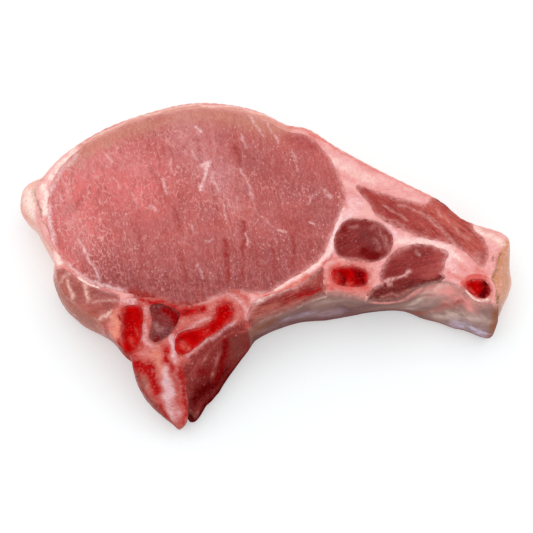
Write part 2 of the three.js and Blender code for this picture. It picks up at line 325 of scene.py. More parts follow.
@dataclass(frozen=True)
class Slice:
    """The whole chop: its outside, its cut faces and how its sides run down to the board."""

    CHUNK = 2000

    fat_back: Rows = (
        (-75, 25), (-71, 31.5), (-64, 38), (-52, 45.5), (-38, 50.7), (-24.5, 53.8), (-12.5, 53.4), (-2, 50.8),
        (7.5, 46), (14.5, 44.5), (23.5, 38.5), (38.5, 29.8), (50, 23.7), (58.5, 19), (65, 13.2), (70, 10.8),
        (79, 7.6),
    )
    rib_end: Rows = (
        (80.8, 5.2), (79.8, 1.5, 81.6, 1.2), (78, -3, 82.2, -1), (77, -7, 82.8, -5), (77.2, -11, 81.6, -8.5),
        (76.6, -15, 78.6, -14), (75.6, -17, 76.2, -22.3),
    )
    rib_side: Rows = (
        (72.5, -17, 73.4, -22.4), (68.8, -16.3, 70, -20.9), (63, -11, 64.5, -19.5), (57.5, -9.6, 59.5, -17.5),
        (51, -11.2, 53.5, -15.8), (44.5, -15.4, 46.5, -13), (36, -16, 37, -13.2), (27, -14, 28.5, -14.9),
        (20, -13.8, 21, -16.2), (10, -18, 10.5, -17.3), (-2.5, -23.2, -3.2, -23.2),
    )
    flank_side: Rows = (
        (-6, -26, -6, -27.3), (-13.4, -28.6, -10.6, -33.8), (-18.8, -33.4, -15.4, -41.6),
        (-23.5, -38.2, -20.6, -48.4), (-25.8, -43, -23.8, -51.8), (-26.6, -46.4, -25.2, -52.4),
    )
    spine_tip: Rows = (
        (-27.5, -49.4, -26.7, -52.6), (-28.6, -51.0, -28.3, -53.9), (-30.2, -50.0, -29.9, -52.5),
        (-33, -48, -33, -50), (-39.4, -42.6, -39, -43.6), (-42.6, -37.4, -41.4, -37), (-43.6, -33.4, -42.4, -32.4),
        (-46.6, -31, -45.2, -29.6), (-50.4, -26.4, -49.4, -25),
    )
    chine_side: Rows = (
        (-54.4, -21.4, -54, -22), (-61, -16.2, -61.6, -17.6), (-66.2, -11, -67.4, -11.6),
        (-68.4, -4.5, -69.8, -4.6), (-69.6, 1), (-73.6, 8.2), (-76, 14), (-75.6, 19.5),
    )
    skin_line: Rows = (
        (76, -16.2), (74, -16.2), (69, -15.4), (63, -10), (57.5, -8.6), (51, -10.2), (44.5, -14.3, 45.5, -11),
        (36, -15, 36.5, -11.8), (27, -13, 28, -12.8), (20, -12.6), (10, -17, 10, -15.4), (-3, -22.4, -3, -21.8),
        (-5.4, -25), (-12.6, -26.8), (-18, -31.6), (-23, -36.6), (-26.2, -41), (-26.6, -46), (-27.6, -54),
        (-40, -70), (-100, -60), (-110, 20), (-60, 80), (40, 80), (110, 40), (95, -16),
    )
    nominal_thickness: float = 24.0
    side_swell: float = 1.2
    foot_round: float = 1.0
    foot_round_height: float = 3.2
    side_reach: float = 5.0
    lean_reach: float = 12.0
    lean_blur: float = 0.5
    eye_centre: tuple[float, float] = (-23, 17)
    eye_half_size: tuple[float, float] = (50, 34)
    eye_crown: float = 1.0
    wave_height: float = 0.22
    wave_length: float = 7.5
    wave_skew: float = 31.0
    spine_top: float = -36.0
    spine_slope: float = 1.06
    spine_ease: float = 1.2
    fold_bulge: float = 5.8
    fold_centre: tuple[float, float, float] = (-75.6, 21, 12)
    fold_half_size: tuple[float, float] = (6.4, 9)
    trace_step: float = 0.5
    base_lumps: float = 0.14
    base_lump_size: float = 6.0
    base_lump_lift: float = 0.3
    relief_foot: float = 1.5
    relief_top: tuple[float, float] = (3.0, 0.5)
    folds: Folds = Folds()

    @property
    def edge(self) -> Outline:
        """Joins the stretches of the outer edge.

        Returns:
            The whole closed edge.
        """
        return Outline(
            self.fat_back + self.rib_end + self.rib_side + self.flank_side + self.spine_tip + self.chine_side
        )

    @cached_property
    def loop(self) -> np.ndarray:
        """The outer edge at the upper cut face."""
        return self.edge.trace(self.trace_step)[0]

    @cached_property
    def outward(self) -> np.ndarray:
        """The way out of the chop at each point of the loop."""
        return outward_of(self.loop)

    @cached_property
    def known_leans(self) -> tuple[np.ndarray, np.ndarray]:
        """The plan points whose move to the foot is given, and those moves.

        Returns:
            The points and their moves, one row each.
        """
        upper, foot = self.edge.trace(self.trace_step)
        skin_upper, skin_foot = Outline(self.skin_line).trace(self.trace_step)
        near_side = nearest(skin_upper, upper)[0] < self.lean_reach
        anchors = np.concatenate([upper, skin_upper[near_side]])
        return anchors, np.concatenate([foot, skin_foot[near_side]]) - anchors

    def face(self, plan: np.ndarray) -> np.ndarray:
        """Works out the height of the upper cut face.

        Args:
            plan: plan points, one row each.

        Returns:
            One height for each point.
        """
        x, y = plan.T
        from_eye = ((plan - self.eye_centre) ** 2 / np.array(self.eye_half_size) ** 2).sum(1)
        waves = np.sin(x / self.wave_length) * np.cos(y / self.wave_length + x / self.wave_skew)
        crown = self.eye_crown * np.maximum(0, 1 - from_eye)
        below = (self.spine_top - y) / self.spine_ease
        slope = self.spine_slope * self.spine_ease * np.logaddexp(0, below)
        return self.nominal_thickness + crown + self.wave_height * waves - slope

    def base(self, plan: np.ndarray) -> np.ndarray:
        """Height of the lower cut face, which touches the board only in places."""
        lumps = Grain.waves(laid_flat(plan), self.base_lump_size, seed=5)
        return self.base_lumps * np.clip(lumps + self.base_lump_lift, 0, 1)

    def lean(self, plan: np.ndarray) -> np.ndarray:
        """Works out how far each plan point moves, from the upper face to the foot.

        Args:
            plan: plan points, one row each.

        Returns:
            The sideways move at the foot, one row for each point.
        """
        anchors, leans = self.known_leans
        moves = np.zeros((len(plan), 2))
        for chunk in np.array_split(np.arange(len(plan)), max(1, len(plan) // self.CHUNK)):
            gap = ((plan[chunk, None] - anchors[None]) ** 2).sum(2)
            weight = (gap + self.lean_blur**2) ** -3
            shift = (weight @ leans) / weight.sum(1)[:, None]
            moves[chunk] = shift * np.exp(-(gap.min(1) / self.lean_reach**2))[:, None]
        return moves

    def place(self, plan: np.ndarray, height: np.ndarray) -> np.ndarray:
        """Puts plan points into space, with the lean, swell and folds of the sides.

        Args:
            plan: plan points at the upper face, one row each.
            height: height of each point.

        Returns:
            Places in space, one row each.
        """
        distance, row = nearest(plan, self.loop)
        outward = self.outward[row]
        drop = np.clip(height / self.nominal_thickness, 0, 1)
        swell = self.side_swell * np.sin(math.pi * drop)
        swell -= self.foot_round * np.clip(1 - height / self.foot_round_height, 0, 1) ** 2
        across = np.linalg.norm(plan - self.fold_centre[:2], axis=1) / self.fold_half_size[0]
        up = (height - self.fold_centre[2]) / self.fold_half_size[1]
        swell += self.fold_bulge * np.exp(-(across**4) - up**4)
        flat = plan + self.lean(plan) * (1 - drop**2)[:, None]
        share = np.exp(-((distance / self.side_reach) ** 2))
        placed = np.column_stack([flat + outward * (swell * share)[:, None], height])
        relief = self.folds.relief(placed) * share * smooth_step(height, 0.0, self.relief_foot)
        relief *= 1 - smooth_step(height, *(self.nominal_thickness - gap for gap in self.relief_top))
        placed[:, :2] += outward * relief[:, None]
        return placed


class Nodes:
    """A material's node tree, built up by small steps."""

    MIX_FACTOR, MIX_FIRST, MIX_SECOND, MIX_RESULT = 0, 6, 7, 2

    def __init__(self, name: str) -> None:
        """Starts an empty material with one shader.

        Args:
            name: the material's name.
        """
        self.material = bpy.data.materials.new(name)
        self.material.use_nodes = True
        self.tree = self.material.node_tree
        self.tree.nodes.clear()
        self.shader = self.tree.nodes.new("ShaderNodeBsdfPrincipled")
        output = self.tree.nodes.new("ShaderNodeOutputMaterial")
        self.tree.links.new(self.shader.outputs[0], output.inputs[0])
        self.place = self.tree.nodes.new("ShaderNodeTexCoord").outputs["Object"]

    def add(self, kind: str, inputs: dict[str | int, Value], **settings: str) -> bpy.types.Node:
        """Adds a node.

        Args:
            kind: the node's type.
            inputs: a value or a socket for each input, by name or number.
            settings: the node's own options.

        Returns:
            The new node.
        """
        node = self.tree.nodes.new(kind)
        for name, value in settings.items():
            setattr(node, name, value)
        for key, value in inputs.items():
            if isinstance(value, Socket):
                self.tree.links.new(value, node.inputs[key])
            else:
                node.inputs[key].default_value = value
        return node

    def _scaled(self, size: tuple[float, float, float], turn: float) -> Socket:
        """Turns the object's own places and measures them in lumps.

        Args:
            size: width of the lumps along each axis, in millimetres.
            turn: turn of the axes in plan, in degrees.

        Returns:
            The socket of the new places.
        """
        inputs = {"Vector": self.place, "Rotation": (0, 0, math.radians(turn)), "Scale": tuple(s * MM for s in size)}
        return self.add("ShaderNodeMapping", inputs, vector_type="TEXTURE").outputs[0]

    def noise(self, size: tuple[float, float, float], turn: float = 0, detail: float = 3, rough: float = 0.55,
              twist: float = 0.0) -> Socket:
        """Adds noise with lumps of a real size.

        Args:
            size: width of the lumps along each axis, in millimetres.
            turn: turn of the axes in plan, in degrees.
            detail: how many finer layers it has.
            rough: strength of the finer layers.
            twist: how far the lumps are bent.

        Returns:
            The noise value's socket.
        """
        inputs = {"Vector": self._scaled(size, turn), "Scale": 1.0, "Detail": detail, "Roughness": rough,
                  "Distortion": twist}
        return self.add("ShaderNodeTexNoise", inputs).outputs["Fac"]

    def bundles(self, size: tuple[float, float, float], turn: float, bend: float) -> tuple[Socket, Socket]:
        """Adds closely packed fibre bundles of a real size.

        Args:
            size: width of the bundles along each axis, in millimetres.
            turn: turn of the axes in plan, in degrees.
            bend: how far the bundles are bent out of line.

        Returns:
            The distance from the bundle's edge and a value of the bundle's own.
        """
        place = self._scaled(size, turn)
        noise = self.add("ShaderNodeTexNoise", {"Vector": place, "Scale": 0.55, "Detail": 2.0})
        bent = self.add("ShaderNodeVectorMath", {0: noise.outputs["Color"], 1: (bend,) * 3, 2: place},
                        operation="MULTIPLY_ADD").outputs[0]
        edges = self.add("ShaderNodeTexVoronoi", {"Vector": bent, "Scale": 1.0}, feature="DISTANCE_TO_EDGE")
        tones = self.add("ShaderNodeTexVoronoi", {"Vector": bent, "Scale": 1.0}, feature="F1")
        return edges.outputs["Distance"], tones.outputs["Color"]

    def value(self, name: str, output: str = "Fac") -> Socket:
        """Reads a painted layer."""
        return self.add("ShaderNodeAttribute", {}, attribute_name=name).outputs[output]

    def mask(self, source: Socket, low: float, high: float, top: float = 1.0) -> Socket:
        """Eases a value from 0 at low to top at high."""
        inputs = {"Value": source, "From Min": low, "From Max": high, "To Max": top}
        return self.add("ShaderNodeMapRange", inputs, interpolation_type="SMOOTHSTEP").outputs[0]

    def maths(self, operation: str, a: Value, b: Value, c: Value = 0.0) -> Socket:
        """Combines two or three values."""
        return self.add("ShaderNodeMath", {0: a, 1: b, 2: c}, operation=operation).outputs[0]

    def line(self, source: Socket, centre: float, width: float) -> Socket:
        """Draws thin lines where a value passes a level."""
        away = self.maths("ABSOLUTE", self.maths("SUBTRACT", source, centre), 0.0)
        return self.mask(away, width, 0.0)

    def mix(self, factor: Value, a: Socket | Colour, b: Socket | Colour) -> Socket:
        """Mixes two colours.

        Args:
            factor: share of the second colour.
            a: the first colour, a socket or a paint.
            b: the second colour, a socket or a paint.

        Returns:
            The mixed colour's socket.
        """
        first, second = (colour if isinstance(colour, Socket) else linear(colour) for colour in (a, b))
        inputs = {self.MIX_FACTOR: factor, self.MIX_FIRST: first, self.MIX_SECOND: second}
        return self.add("ShaderNodeMix", inputs, data_type="RGBA").outputs[self.MIX_RESULT]

    def set(self, name: str, value: Value) -> None:
        """Sets or links one of the shader's inputs.

        Args:
            name: the input's name.
            value: a constant or a socket.
        """
        if isinstance(value, Socket):
            self.tree.links.new(value, self.shader.inputs[name])
        else:
            self.shader.inputs[name].default_value = value


def linear(paint: Colour) -> tuple[float, float, float, float]:
    """Turns a screen colour from 0 to 255 into the renderer's own scale."""
    shares = (c / 255 for c in paint)
    return (*(s / 12.92 if s <= 0.04045 else ((s + 0.055) / 1.055) ** 2.4 for s in shares), 1.0)


@dataclass(frozen=True)
class Finish:
    """How one tissue looks: its colours, its flecks, its surface and the painted highlights of its wet shine; all
    sizes are in millimetres.
    """

    RAGS = (1.6, 1.6, 1.6)
    PATCHES = (8.0, 8.0, 8.0)
    MICRO = (0.5, 0.5, 0.5)
    STREAKS = (13.0, 1.9, 9.0)
    NET_SPREAD = (5.0, 2.4, 5.0)
    WALL_STRIPS = (3.2, 3.2, 12.0)
    WALL_LUMPS = (14.0, 14.0, 9.0)
    WALL_SHARE = 0.3
    # Size and colour of the painted highlights: near-white glints that stand for the shine of the wet surface.
    PAINTED_GLINT_SIZE = (0.9, 0.6, 0.6)
    GLINT_PAINT = (240, 192, 188)

    base: Colour
    mottle: Colour
    fleck: Colour
    layers: dict[Paint, Colour]
    grain_turn: float = 0.0
    grain_stretch: float = 2.0
    fleck_size: float = 0.8
    fleck_share: float = 0.5
    line_share: float = 0.8
    streak_share: float = 0.0
    bundle_share: float = 0.0
    bundle_size: float = 1.25
    painted_glint_share: float = 0.12
    mottle_size: float = 7.0
    wisp_size: tuple[float, float, float] = (0.9, 0.9, 0.9)
    pore: Colour = (120, 40, 38)
    pore_share: float = 0.25
    bump: float = 0.25
    roughness: float = 0.42
    gloss: float = 0.08

    def _wall(self, n: Nodes, colour: Socket) -> Socket:
        """Makes the outer walls uneven, with strips and broad lumps.

        Args:
            n: the material's nodes.
            colour: the colour so far.

        Returns:
            The colour with the walls done.
        """
        strips = n.noise(self.WALL_STRIPS, 15, 4, 0.6, 0.8)
        lumps = n.noise(self.WALL_LUMPS, 50, 2, 0.5, 0.4)
        for source, low, high, tone in ((strips, 0.48, 0.3, self.pore), (strips, 0.54, 0.72, self.fleck),
                                        (lumps, 0.5, 0.3, self.pore), (lumps, 0.52, 0.7, self.fleck)):
            share = n.maths("MULTIPLY", n.value(Paint.SIDE.value), n.mask(source, low, high, self.WALL_SHARE))
            colour = n.mix(share, colour, tone)
        return colour

    def _ground(self, n: Nodes, ragged: Socket) -> Socket:
        """Lays the tissue's own colours and its softest layers.

        Args:
            n: the material's nodes.
            ragged: noise that frays the layers.

        Returns:
            The colour so far.
        """
        mottle = n.noise((self.mottle_size,) * 3, 20, 4, 0.6, 0.4)
        colour = n.mix(n.mask(mottle, 0.36, 0.64), self.base, self.mottle)
        for paint in (Paint.SIDE, Paint.WARM, Paint.COOL):
            if paint in self.layers:
                soft = n.maths("MULTIPLY", n.value(paint.value), n.mask(ragged, 0.0, 0.6, 1.1))
                colour = n.mix(n.maths("MINIMUM", soft, 1.0), colour, self.layers[paint])
                if paint is Paint.SIDE:
                    colour = self._wall(n, colour)
        if self.streak_share:
            streaks = n.noise(self.STREAKS, self.grain_turn - 8, 3, 0.6, 1.3)
            colour = n.mix(n.mask(streaks, 0.5, 0.36, self.streak_share), colour, self.pore)
            colour = n.mix(n.mask(streaks, 0.54, 0.7, self.streak_share * 0.6), colour, self.fleck)
        return colour

    def _fibres(self, n: Nodes, colour: Socket, grain: Socket, patches: Socket) -> tuple[Socket, Socket]:
        """Draws pores, flecks, fine curled lines and, where there are any, fibre bundles.

        Args:
            n: the material's nodes.
            colour: the colour so far.
            grain: noise that runs along the fibres.
            patches: broad noise that thins the marks out in places.

        Returns:
            The colour with the fibres, and the share of light marks.
        """
        fine, turn = self.fleck_size, self.grain_turn
        worms = n.noise(tuple(1.8 * s for s in self.grain_size), turn + 12, 2, 0.5, 2.0)
        breaks = n.noise((1.6 * fine,) * 3, 70, 2, 0.6, 0.3)
        colour = n.mix(n.mask(grain, 0.46, 0.3, self.pore_share), colour, self.pore)
        flecks = n.maths("MULTIPLY", n.mask(grain, 0.47, 0.66), self.fleck_share)
        broken = n.maths("MULTIPLY", n.line(worms, 0.5, 0.05), n.mask(breaks, 0.42, 0.58, self.line_share))
        light = n.maths("MAXIMUM", flecks, n.maths("MULTIPLY", broken, n.mask(patches, 0.3, 0.6)))
        if self.bundle_share:
            wide = self.bundle_size
            edge, tone = n.bundles((2.1 * wide, wide, 2 * wide), turn, 0.9)
            colour = n.mix(n.mask(tone, 0.3, 0.8, 0.4 * self.bundle_share), colour, self.pore)
            spread = n.noise(self.NET_SPREAD, turn, 2, 0.6, 0.8)
            net = n.maths("MULTIPLY", n.mask(edge, 0.2, 0.01), n.mask(breaks, 0.36, 0.6, self.bundle_share))
            net = n.maths("MULTIPLY", net, n.mask(spread, 0.3, 0.6))
            net = n.maths("MULTIPLY", net, n.maths("MULTIPLY_ADD", n.value(Paint.MESH.value), 2.0, 0.36))
            light = n.maths("MAXIMUM", light, net)
        return n.mix(light, colour, self.fleck), light

    def _marks(self, n: Nodes, colour: Socket, grain: Socket, ragged: Socket, patches: Socket) -> Socket:
        """Adds painted highlights (small near-white glints for the shine of the wet surface), blends in the
        neighbours and paints veins, seams and stains.

        Args:
            n: the material's nodes.
            colour: the colour so far.
            grain: noise that runs along the fibres.
            ragged: noise that frays the border.
            patches: broad noise that thins the painted highlights out in places.

        Returns:
            The finished colour.
        """
        # Painted highlights: small near-white glints that stand for the shine of the wet surface.
        glints = n.mask(n.noise(self.PAINTED_GLINT_SIZE, self.grain_turn, 1, 0.4), 0.6, 0.74, self.painted_glint_share)
        colour = n.mix(n.maths("MULTIPLY", glints, n.mask(patches, 0.42, 0.62)), colour, self.GLINT_PAINT)
        blend = n.maths("MULTIPLY", n.value(Paint.BORDER.value), n.mask(ragged, 0.1, 0.7, 1.3))
        colour = n.mix(n.mask(blend, 0.0, 1.0), colour, n.value(BESIDE, "Color"))
        wisps = n.noise(self.wisp_size, 10, 3, 0.65, 0.5)
        masks = dict.fromkeys((Paint.STAIN, Paint.VEIL, Paint.DEEP), (wisps, 0.0, 0.7, 1.3))
        masks |= {Paint.HAZE: (grain, 0.2, 0.75, 1.6), Paint.PALE: (wisps, 0.22, 0.66, 1.4)}
        for paint, (source, low, high, top) in masks.items():
            if paint in self.layers:
                soft = n.maths("MULTIPLY", n.value(paint.value), n.mask(source, low, high, top))
                colour = n.mix(n.maths("MINIMUM", soft, 1.0), colour, self.layers[paint])
        return colour

    @property
    def grain_size(self) -> tuple[float, float, float]:
        """Width of the grain along and across the fibres, in millimetres."""
        return self.fleck_size * self.grain_stretch, self.fleck_size, self.fleck_size * 1.5

    def dress(self, name: str) -> bpy.types.Material:
        """Builds the material.

        Args:
            name: the material's name.

        Returns:
            The finished material.
        """
        n = Nodes(name)
        ragged = n.noise(self.RAGS, 40, 3, 0.65, 0.5)
        grain = n.noise(self.grain_size, self.grain_turn, 3, 0.65, 1.6)
        patches = n.noise(self.PATCHES, 0, 2, 0.5, 0.5)
        colour, light = self._fibres(n, self._ground(n, ragged), grain, patches)
        n.set("Base Color", self._marks(n, colour, grain, ragged, patches))
        n.set("Roughness", n.mask(grain, 0.25, 0.8, self.roughness * 1.5))
        n.set("Specular IOR Level", self.gloss)
        micro = n.noise(self.MICRO, 0, 2, 0.6)
        height = n.maths("ADD", n.maths("MULTIPLY", grain, 0.7), n.maths("MULTIPLY", micro, 0.3))
        height = n.maths("ADD", height, n.maths("MULTIPLY", light, 0.5))
        bump = n.add("ShaderNodeBump", {"Height": height, "Strength": 1.0, "Distance": self.bump * MM})
        n.set("Normal", bump.outputs[0])
        return n.material


@dataclass(frozen=True)
class Piece:
    """One separate tissue, cut right through the slice."""

    RAG_SIZE = 1.3
    RAG_SEED = 11
    SWAY_SEEDS = (21, 34, 55)
    MESH_GROUND = 0.12

    node: str
    slot: str
    finish: Finish
    outline: Rows = ()
    is_skin: bool = False
    sink: float = 0.0
    crown: float = 0.4
    rounding: float = 1.4
    relief: float = 0.08
    relief_size: tuple[float, float, float] = (3.0, 1.8, 3.0)
    seam: float = 0.03
    seam_width: float = 0.5
    border_width: float = 0.75
    border_share: float = 0.5
    side_blend: float = 2.2
    waver: float = 0.22
    sway: float = 0.9
    sway_size: float = 2.6
    crown_run: float = 2.2
    paints: Marks = field(default_factory=dict)

    @property
    def line(self) -> Outline:
        """The piece's own slightly uneven outline."""
        return Outline(self.outline, self.waver)

    def top(self, body: Slice, plan: np.ndarray, inner: np.ndarray, outer: np.ndarray) -> np.ndarray:
        """Works out the height of the piece's cut face.

        Args:
            body: the whole slice.
            plan: plan points, one row each.
            inner: distance of each point from the piece's own border.
            outer: distance of each point from the outer edge.

        Returns:
            One height for each point.
        """
        height = body.face(plan) - self.sink + self.crown * (1 - np.exp(-inner / self.crown_run))
        height -= self.seam * np.exp(-((inner / self.seam_width) ** 2)) * smooth_step(outer, 0.3, 1.2)
        height += self.relief * Grain.waves(laid_flat(plan), self.relief_size, len(self.node), 3)
        for strands in self.paints.values():
            for strand in strands:
                if strand.height and not strand.on_side:
                    height += strand.height * strand.cover(plan)
        fall = 1 - np.clip(outer / self.rounding, 0, 1)
        return height - self.rounding * (1 - np.sqrt(1 - fall**2))

    def paint(self, space: np.ndarray, plan: np.ndarray, joint: np.ndarray,
              side: np.ndarray) -> dict[Paint, np.ndarray]:
        """Works out every painted layer.

        Args:
            space: places in space, one row each.
            plan: the same points in plan.
            joint: distance from the nearest neighbouring piece.
            side: share of each point that belongs to the sides.

        Returns:
            The values of each layer.
        """
        ragged = 1 + 0.5 * Grain.waves(space, self.RAG_SIZE, self.RAG_SEED)
        sway = np.column_stack([Grain.waves(space, self.sway_size, seed) for seed in self.SWAY_SEEDS]) * self.sway
        wide = self.border_width + (0 if self.is_skin else self.side_blend) * side
        share = np.maximum(self.border_share, 0 if self.is_skin else 0.5 * side)
        values = {Paint.BORDER: share * np.exp(-((joint / wide) ** 1.5)), Paint.SIDE: side}
        if self.finish.bundle_share:
            values[Paint.MESH] = np.full(len(space), self.MESH_GROUND)
        for paint, strands in self.paints.items():
            cover = values.get(paint, np.zeros(len(space)))
            for strand in strands:
                where = space + sway if strand.on_side else plan + sway[:, :2]
                keep = smooth_step(side, 0.0, 0.6) if strand.on_side else 1 - side
                cover = np.maximum(cover, strand.strength * strand.cover(where) * keep * ragged)
            values[paint] = np.clip(cover, 0, 1)
        return values


@dataclass(frozen=True, eq=False)
class Cut:
    """One piece's share of the net of the cut face."""

    names: np.ndarray
    plan: np.ndarray
    triangles: np.ndarray
    border: list[tuple[int, int]]

    @cached_property
    def rim(self) -> list[int]:
        """The points of the border."""
        return sorted({i for pair in self.border for i in pair})

    @cached_property
    def order(self) -> dict[int, int]:
        """Each border point's place in the rim."""
        return {name: i for i, name in enumerate(self.rim)}


class Plan:
    """The cut face divided among its pieces, as one net of triangles shared by all of them."""

    NET_STEP = 0.37
    BASE_STEP = 1.6
    LINE_STEP = 0.6
    CLEAR = 0.23
    RINGS = (0.14, 0.4, 0.8)
    LEVELS = (0.03, 0.07, 0.12, 0.18, 0.25, 0.32, 0.39, 0.46, 0.53, 0.6, 0.67, 0.74, 0.8, 0.86, 0.91, 0.96)
    NET_SEED = 7
    NET_JITTER = 0.12
    ROW_SHARE = 0.866
    BASE_CLEAR = 0.45
    RING_CLEAR = 0.5
    RING_KEPT = 0.8
    SAME_POINT = 1e-5
    SKINS_MEET = -6.0
    ON_EDGE = 0.3
    SIDE_START = 1.5
    RIM_SHARE = 0.6
    RIM_WIDTH = 0.35
    RIM_REACH = 1.0
    DEPTH_SHARE = 0.8
    SHARP_ANGLE = 48.0

    def __init__(self, body: Slice, pieces: list[Piece]) -> None:
        """Divides the cut face.

        Args:
            body: the whole slice.
            pieces: all the pieces, those that take room first before the others.
        """
        self.body = body
        self.pieces = pieces
        self.edge = body.edge
        self.skin = Outline(body.skin_line)
        lines = [self.edge.trace(self.LINE_STEP)[0], self.skin.trace(self.LINE_STEP)[0]]
        lines += [p.line.trace(self.LINE_STEP)[0] for p in pieces if p.outline]
        points, edges = self._kept_lines(lines)
        rings = [self._ring(distance) for distance in self.RINGS]
        net = self._net(self.NET_STEP)
        net = net[self.edge.holds(net, self.LINE_STEP)]
        away_rings = np.concatenate(rings)
        away_rings = away_rings[nearest(away_rings, points)[0] > self.CLEAR * self.RING_CLEAR]
        net = net[nearest(net, np.concatenate([points, away_rings]))[0] > self.CLEAR]
        everything = np.concatenate([points, away_rings, net])
        self.points, self.triangles, _ = self._triangulate(everything, edges)
        self.region = self.regions(self.points[self.triangles].mean(1))
        self.owner = {(int(t[k]), int(t[(k + 1) % 3])): int(r)
                      for t, r in zip(self.triangles, self.region) for k in range(3)}

    def _kept_lines(self, lines: list[np.ndarray]) -> tuple[np.ndarray, list[tuple[int, int]]]:
        """Keeps the parts of the lines that divide the face.

        Args:
            lines: closed lines: the outer edge, the skin line, then each piece's outline.

        Returns:
            The points of the kept parts and the pairs of points they join.
        """
        skins = sum(1 for p in self.pieces if p.outline and p.is_skin)
        points, edges, start = [], [], 0
        outlines = [p.line for p in self.pieces if p.outline]
        for number, line in enumerate(lines):
            keep = np.ones(len(line), bool)
            if number > 0:
                keep &= self.edge.holds(line, self.LINE_STEP)
            if number > 1:
                piece = number - 2
                in_skin = ~self.skin.holds(line, self.LINE_STEP)
                keep &= in_skin if piece < skins else ~in_skin
                for other in outlines[skins if piece >= skins else 0:piece]:
                    keep &= ~other.holds(line, self.LINE_STEP)
            joined = keep | np.roll(keep, -1)
            used = joined | np.roll(joined, 1)
            names = np.cumsum(used) - 1 + start
            following = np.roll(np.arange(len(line)), -1)
            edges += [(names[i], names[following[i]]) for i in range(len(line)) if joined[i]]
            points.append(line[used])
            start += int(used.sum())
        return np.concatenate(points), edges

    def _ring(self, distance: float) -> np.ndarray:
        """Traces the outer edge a little way in.

        Args:
            distance: how far in, in millimetres.

        Returns:
            The points of the ring, one row each.
        """
        loop = self.edge.trace(self.LINE_STEP)[0]
        ring = loop - distance * outward_of(loop)
        return ring[nearest(ring, self.body.loop)[0] > distance * self.RING_KEPT]

    def _net(self, step: float) -> np.ndarray:
        """Lays a slightly uneven triangular net over the whole face.

        Args:
            step: spacing of the net, in millimetres.

        Returns:
            The points of the net, one row each.
        """
        low, high = self.body.loop.min(0), self.body.loop.max(0)
        x, y = np.meshgrid(np.arange(low[0], high[0], step), np.arange(low[1], high[1], step * self.ROW_SHARE))
        x[1::2] += step / 2
        net = np.column_stack([x.ravel(), y.ravel()])
        jitter = np.random.default_rng(self.NET_SEED).uniform(-self.NET_JITTER, self.NET_JITTER, net.shape)
        return net + jitter * step

    @staticmethod
    def _triangulate(points: np.ndarray, edges: list[tuple[int, int]]) -> tuple[np.ndarray, np.ndarray, list]:
        """Joins points into triangles that keep to the given lines."""
        found = delaunay_2d_cdt([Vector(p) for p in points], edges, [], 0, Plan.SAME_POINT)
        return np.array([tuple(v) for v in found[0]]), np.array(found[2]), found[3]

    def regions(self, points: np.ndarray) -> np.ndarray:
        """Finds the piece that each plan point belongs to.

        Args:
            points: plan points, one row each.

        Returns:
            The number of the piece, or -1 outside the chop.
        """
        inside = self.edge.holds(points, self.LINE_STEP)
        in_skin = ~self.skin.holds(points, self.LINE_STEP)
        found = np.full(len(points), -1)
        free = inside.copy()
        for number, piece in enumerate(self.pieces):
            mine = free & (in_skin if piece.is_skin else ~in_skin)
            if piece.outline:
                chosen = mine.nonzero()[0]
                mine[chosen] = piece.line.holds(points[chosen], self.LINE_STEP)
            found[mine] = number
            free &= ~mine
        left = free.nonzero()[0]
        names = {piece.node: number for number, piece in enumerate(self.pieces)}
        found[left] = np.where(points[left, 0] > self.SKINS_MEET, names["inner_membrane"], names["flank_meat"])
        return found

    def _cut(self, number: int) -> Cut:
        """Collects one piece's share of the net.

        Args:
            number: the piece's place in the list.

        Returns:
            The share, with its triangles turned upwards.
        """
        names, flat = np.unique(self.triangles[self.region == number], return_inverse=True)
        plan, triangles = self.points[names], flat.reshape(-1, 3)
        turned = twice_area(*(plan[triangles[:, k]] for k in range(3))) < 0
        triangles[turned] = triangles[turned][:, ::-1]
        sides = {(int(t[i]), int(t[(i + 1) % 3])) for t in triangles for i in range(3)}
        return Cut(names, plan, triangles, [(i, j) for i, j in sides if (j, i) not in sides])

    def _foot(self, number: int, cut: Cut) -> tuple[np.ndarray, np.ndarray]:
        """Divides the foot of one piece, inside the same border.

        Args:
            number: the piece's place in the list.
            cut: its share of the cut face.

        Returns:
            The plan points of the foot, border first, and its triangles.
        """
        rim_plan = cut.plan[cut.rim]
        net = self._net(self.BASE_STEP)
        net = net[self.regions(net) == number]
        if len(net):
            net = net[nearest(net, rim_plan)[0] > self.BASE_STEP * self.BASE_CLEAR]
        plan = np.concatenate([rim_plan, net])
        found, triangles, sources = self._triangulate(plan, [(cut.order[i], cut.order[j]) for i, j in cut.border])
        triangles = triangles[self.regions(found[triangles].mean(1)) == number]
        triangles = np.array([s[0] if s else -1 for s in sources])[triangles]
        return plan, triangles[(triangles >= 0).all(1)]

    def _faces(self, cut: Cut, foot_plan: np.ndarray, foot_triangles: np.ndarray) -> list[tuple[int, ...]]:
        """Lists the faces of one closed mesh: cut face, walls row by row, then foot.

        Args:
            cut: the piece's share of the cut face.
            foot_plan: plan points of the foot, border first.
            foot_triangles: triangles of the foot.

        Returns:
            The corners of each face.
        """
        faces = [tuple(map(int, t)) for t in cut.triangles]
        starts = [len(cut.plan) + len(cut.rim) * k for k in range(len(self.LEVELS) + 1)]
        for row, lower in enumerate(starts):
            for i, j in cut.border:
                p, q = cut.order[i], cut.order[j]
                above = (starts[row - 1] + p, starts[row - 1] + q) if row else (i, j)
                faces.append((above[1], above[0], lower + p, lower + q))
        for t in foot_triangles:
            ring = t[::-1] if twice_area(*foot_plan[t]) > 0 else t
            faces.append(tuple(int(starts[-1] + k) for k in ring))
        return faces

